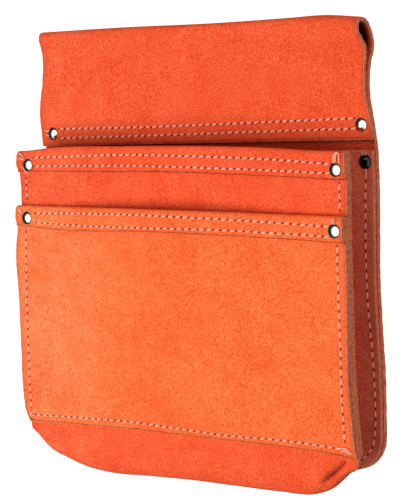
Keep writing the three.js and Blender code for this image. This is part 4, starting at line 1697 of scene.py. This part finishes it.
# The rear caps take the dark copy, whose colour is painted shade.
for place, piece in zip(rivet_places, rivets):
    piece.data.materials.append(shaded_nickel if place["name"] == "rear" else bright_nickel)
print("leather pieces with a finish:", len(finishes))

# %% Set the pieces on the frame
pouch_pieces = (*skins, *thread_pieces, *hole_pieces, *rivets)
for piece in pouch_pieces:
    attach(piece, "root")
print("pieces on the frame:", len(pouch_pieces))

# %% [markdown]
# ## Stage
# The photograph has a plain white ground and no shadow. A flat backdrop would only do from one
# side. The stage is a round floor far below the pouch, whose rim curves up into a wall, so that
# every view has the same pale ground. It glows a little, and it is hidden from diffuse and glossy
# rays, so that it neither lights the leather nor shows in the caps.

# %% The stage
floor_z = -1.15
stage_radius = 3.2
stage_bend, stage_bend_steps = 1.2, 12
stage_height = 3.0
stage_steps = 72
stage_grey, stage_glow = 0.9, 0.8

stage_rows = [(0.0, floor_z), (stage_radius - stage_bend, floor_z)]
for k in range(1, stage_bend_steps + 1):
    angle = math.pi / 2 * k / stage_bend_steps
    out = stage_radius - stage_bend + stage_bend * math.sin(angle)
    stage_rows.append((out, floor_z + stage_bend * (1 - math.cos(angle))))
stage_rows.append((stage_radius, stage_height))
stage_points = []
for radius, z in stage_rows:
    for k in range(stage_steps):
        angle = 2 * math.pi * k / stage_steps
        stage_points.append((radius * math.cos(angle), radius * math.sin(angle), z))
stage_faces = ring_faces(len(stage_rows), stage_steps)
stage = mesh_piece("stage", (stage_points, stage_faces))
white, tree, shader = plain_material("white ground", 0.9, 0.1)
shader.inputs["Base Color"].default_value = (stage_grey, stage_grey, stage_grey, 1.0)
shader.inputs["Emission Color"].default_value = (1.0, 1.0, 1.0, 1.0)
shader.inputs["Emission Strength"].default_value = stage_glow
stage.data.materials.append(white)
stage.visible_diffuse = False
stage.visible_glossy = False
print("stage faces:", len(stage_faces))

# %% [markdown]
# ## Light
# One broad soft light stands in front, and it hardly reaches into the side strip. Weaker panels
# fill the side, the top and the back. A real panel would also show in the nickel as a hard
# rectangle, so the lamps are hidden from reflections. The nickel mirrors the world instead: a
# dark green room with one pale patch in front, which whitens the right side of each cap.

# %% The world, with the room that the nickel mirrors
room_light = (0.21, 0.2, 0.195, 1.0)
room_dark, room_pale = (0.012, 0.035, 0.026, 1.0), (1.5, 1.5, 1.47, 1.0)
patch_facing, patch_range = (0.07, -0.99, -0.13), (0.65, 0.75)

world = bpy.data.worlds.new("room")
bpy.context.scene.world = world
world.use_nodes = True
room = world.node_tree
ambient = room.nodes["Background"]
ray = room.nodes.new("ShaderNodeLightPath")
facing = room.nodes.new("ShaderNodeVectorMath")
facing.operation = "DOT_PRODUCT"
room.links.new(room.nodes.new("ShaderNodeTexCoord").outputs["Generated"], facing.inputs[0])
facing.inputs[1].default_value = patch_facing
in_patch = stretch(room, facing.outputs["Value"], *patch_range)
mirrored_room = blend_colour(room, in_patch, room_dark, room_pale)
seen = blend_colour(room, ray.outputs["Is Glossy Ray"], room_light, mirrored_room)
room.links.new(seen, ambient.inputs["Color"])
ambient.inputs["Strength"].default_value = 1.0
bpy.context.scene.view_settings.view_transform = "Standard"
print("world nodes:", len(room.nodes))

# %% The lights
# An azimuth of 0 is the front and + is the right. Sizes and distances are in metres.
lamps = [
    {"name": "front panel", "azimuth": -14, "rise": -13, "distance": 1.3,
     "wide": 1.1, "tall": 0.85, "power": 18.5},
    {"name": "side fill", "azimuth": 64, "rise": 0, "distance": 1.6,
     "wide": 1.2, "tall": 1.2, "power": 6},
    {"name": "top fill", "azimuth": 0, "rise": 78, "distance": 1.4,
     "wide": 1.2, "tall": 0.8, "power": 6},
    {"name": "back fill", "azimuth": 172, "rise": 30, "distance": 2.0,
     "wide": 1.6, "tall": 1.6, "power": 14},
]
aim = Vector(to_frame((0, -20, -160)))


def soft_panel(lamp):
    """A soft light panel that faces the pouch."""
    data = bpy.data.lights.new(lamp["name"], "AREA")
    data.shape = "RECTANGLE"
    data.size = lamp["wide"]
    data.size_y = lamp["tall"]
    data.energy = lamp["power"]
    light = bpy.data.objects.new(lamp["name"], data)
    turn, rise = math.radians(lamp["azimuth"]), math.radians(lamp["rise"])
    level_x, level_y = math.sin(turn) * math.cos(rise), -math.cos(turn) * math.cos(rise)
    away = Vector((level_x, level_y, math.sin(rise)))
    light.location = aim + away * lamp["distance"]
    light.rotation_mode = "QUATERNION"
    light.rotation_quaternion = (-away).to_track_quat("-Z", "Y")
    light.visible_glossy = False
    bpy.context.scene.collection.objects.link(light)
    return light


lights = [soft_panel(lamp) for lamp in lamps]
print("lights:", [light.name for light in lights])

# %% [markdown]
# ## Camera
# The view was fitted to points of the outline in the photograph: an angle round the pouch, a
# small angle from above, a little roll, a distance and a lens. A camera set by eye would be
# quicker, but then the outlines could not be compared. The angles are turned into the camera's
# own three axes here.

# %% The camera, at the photograph's own angle
camera_azimuth, camera_pitch, camera_roll = 38.586, 5.923, -2.542
camera_distance = 1293.7
camera_target = (11.563, -15.0, -152.398)
lens, film_width = 135.4, 36.0

turn, pitch, roll_angle = (math.radians(v) for v in (camera_azimuth, camera_pitch, camera_roll))
level = Vector((-math.sin(turn), math.cos(turn), 0))
right = Vector((math.cos(turn), math.sin(turn), 0))
ahead = level * math.cos(pitch) - Vector((0, 0, math.sin(pitch)))
above = Vector((0, 0, math.cos(pitch))) + level * math.sin(pitch)
side_axis = right * math.cos(roll_angle) + above * math.sin(roll_angle)
top_axis = above * math.cos(roll_angle) - right * math.sin(roll_angle)
camera_data = bpy.data.cameras.new("camera")
camera_data.lens = lens
camera_data.sensor_width = film_width
camera = bpy.data.objects.new("camera", camera_data)
bpy.context.scene.collection.objects.link(camera)
axes = Matrix((side_axis, top_axis, -ahead)).transposed().to_4x4()
spot = (Vector(camera_target) - ahead * camera_distance) * metres
camera.matrix_world = Matrix.Translation(spot) @ axes
bpy.context.scene.camera = camera
print("camera at", [round(v, 3) for v in spot])

# %% Finish
bpy.context.view_layer.update()
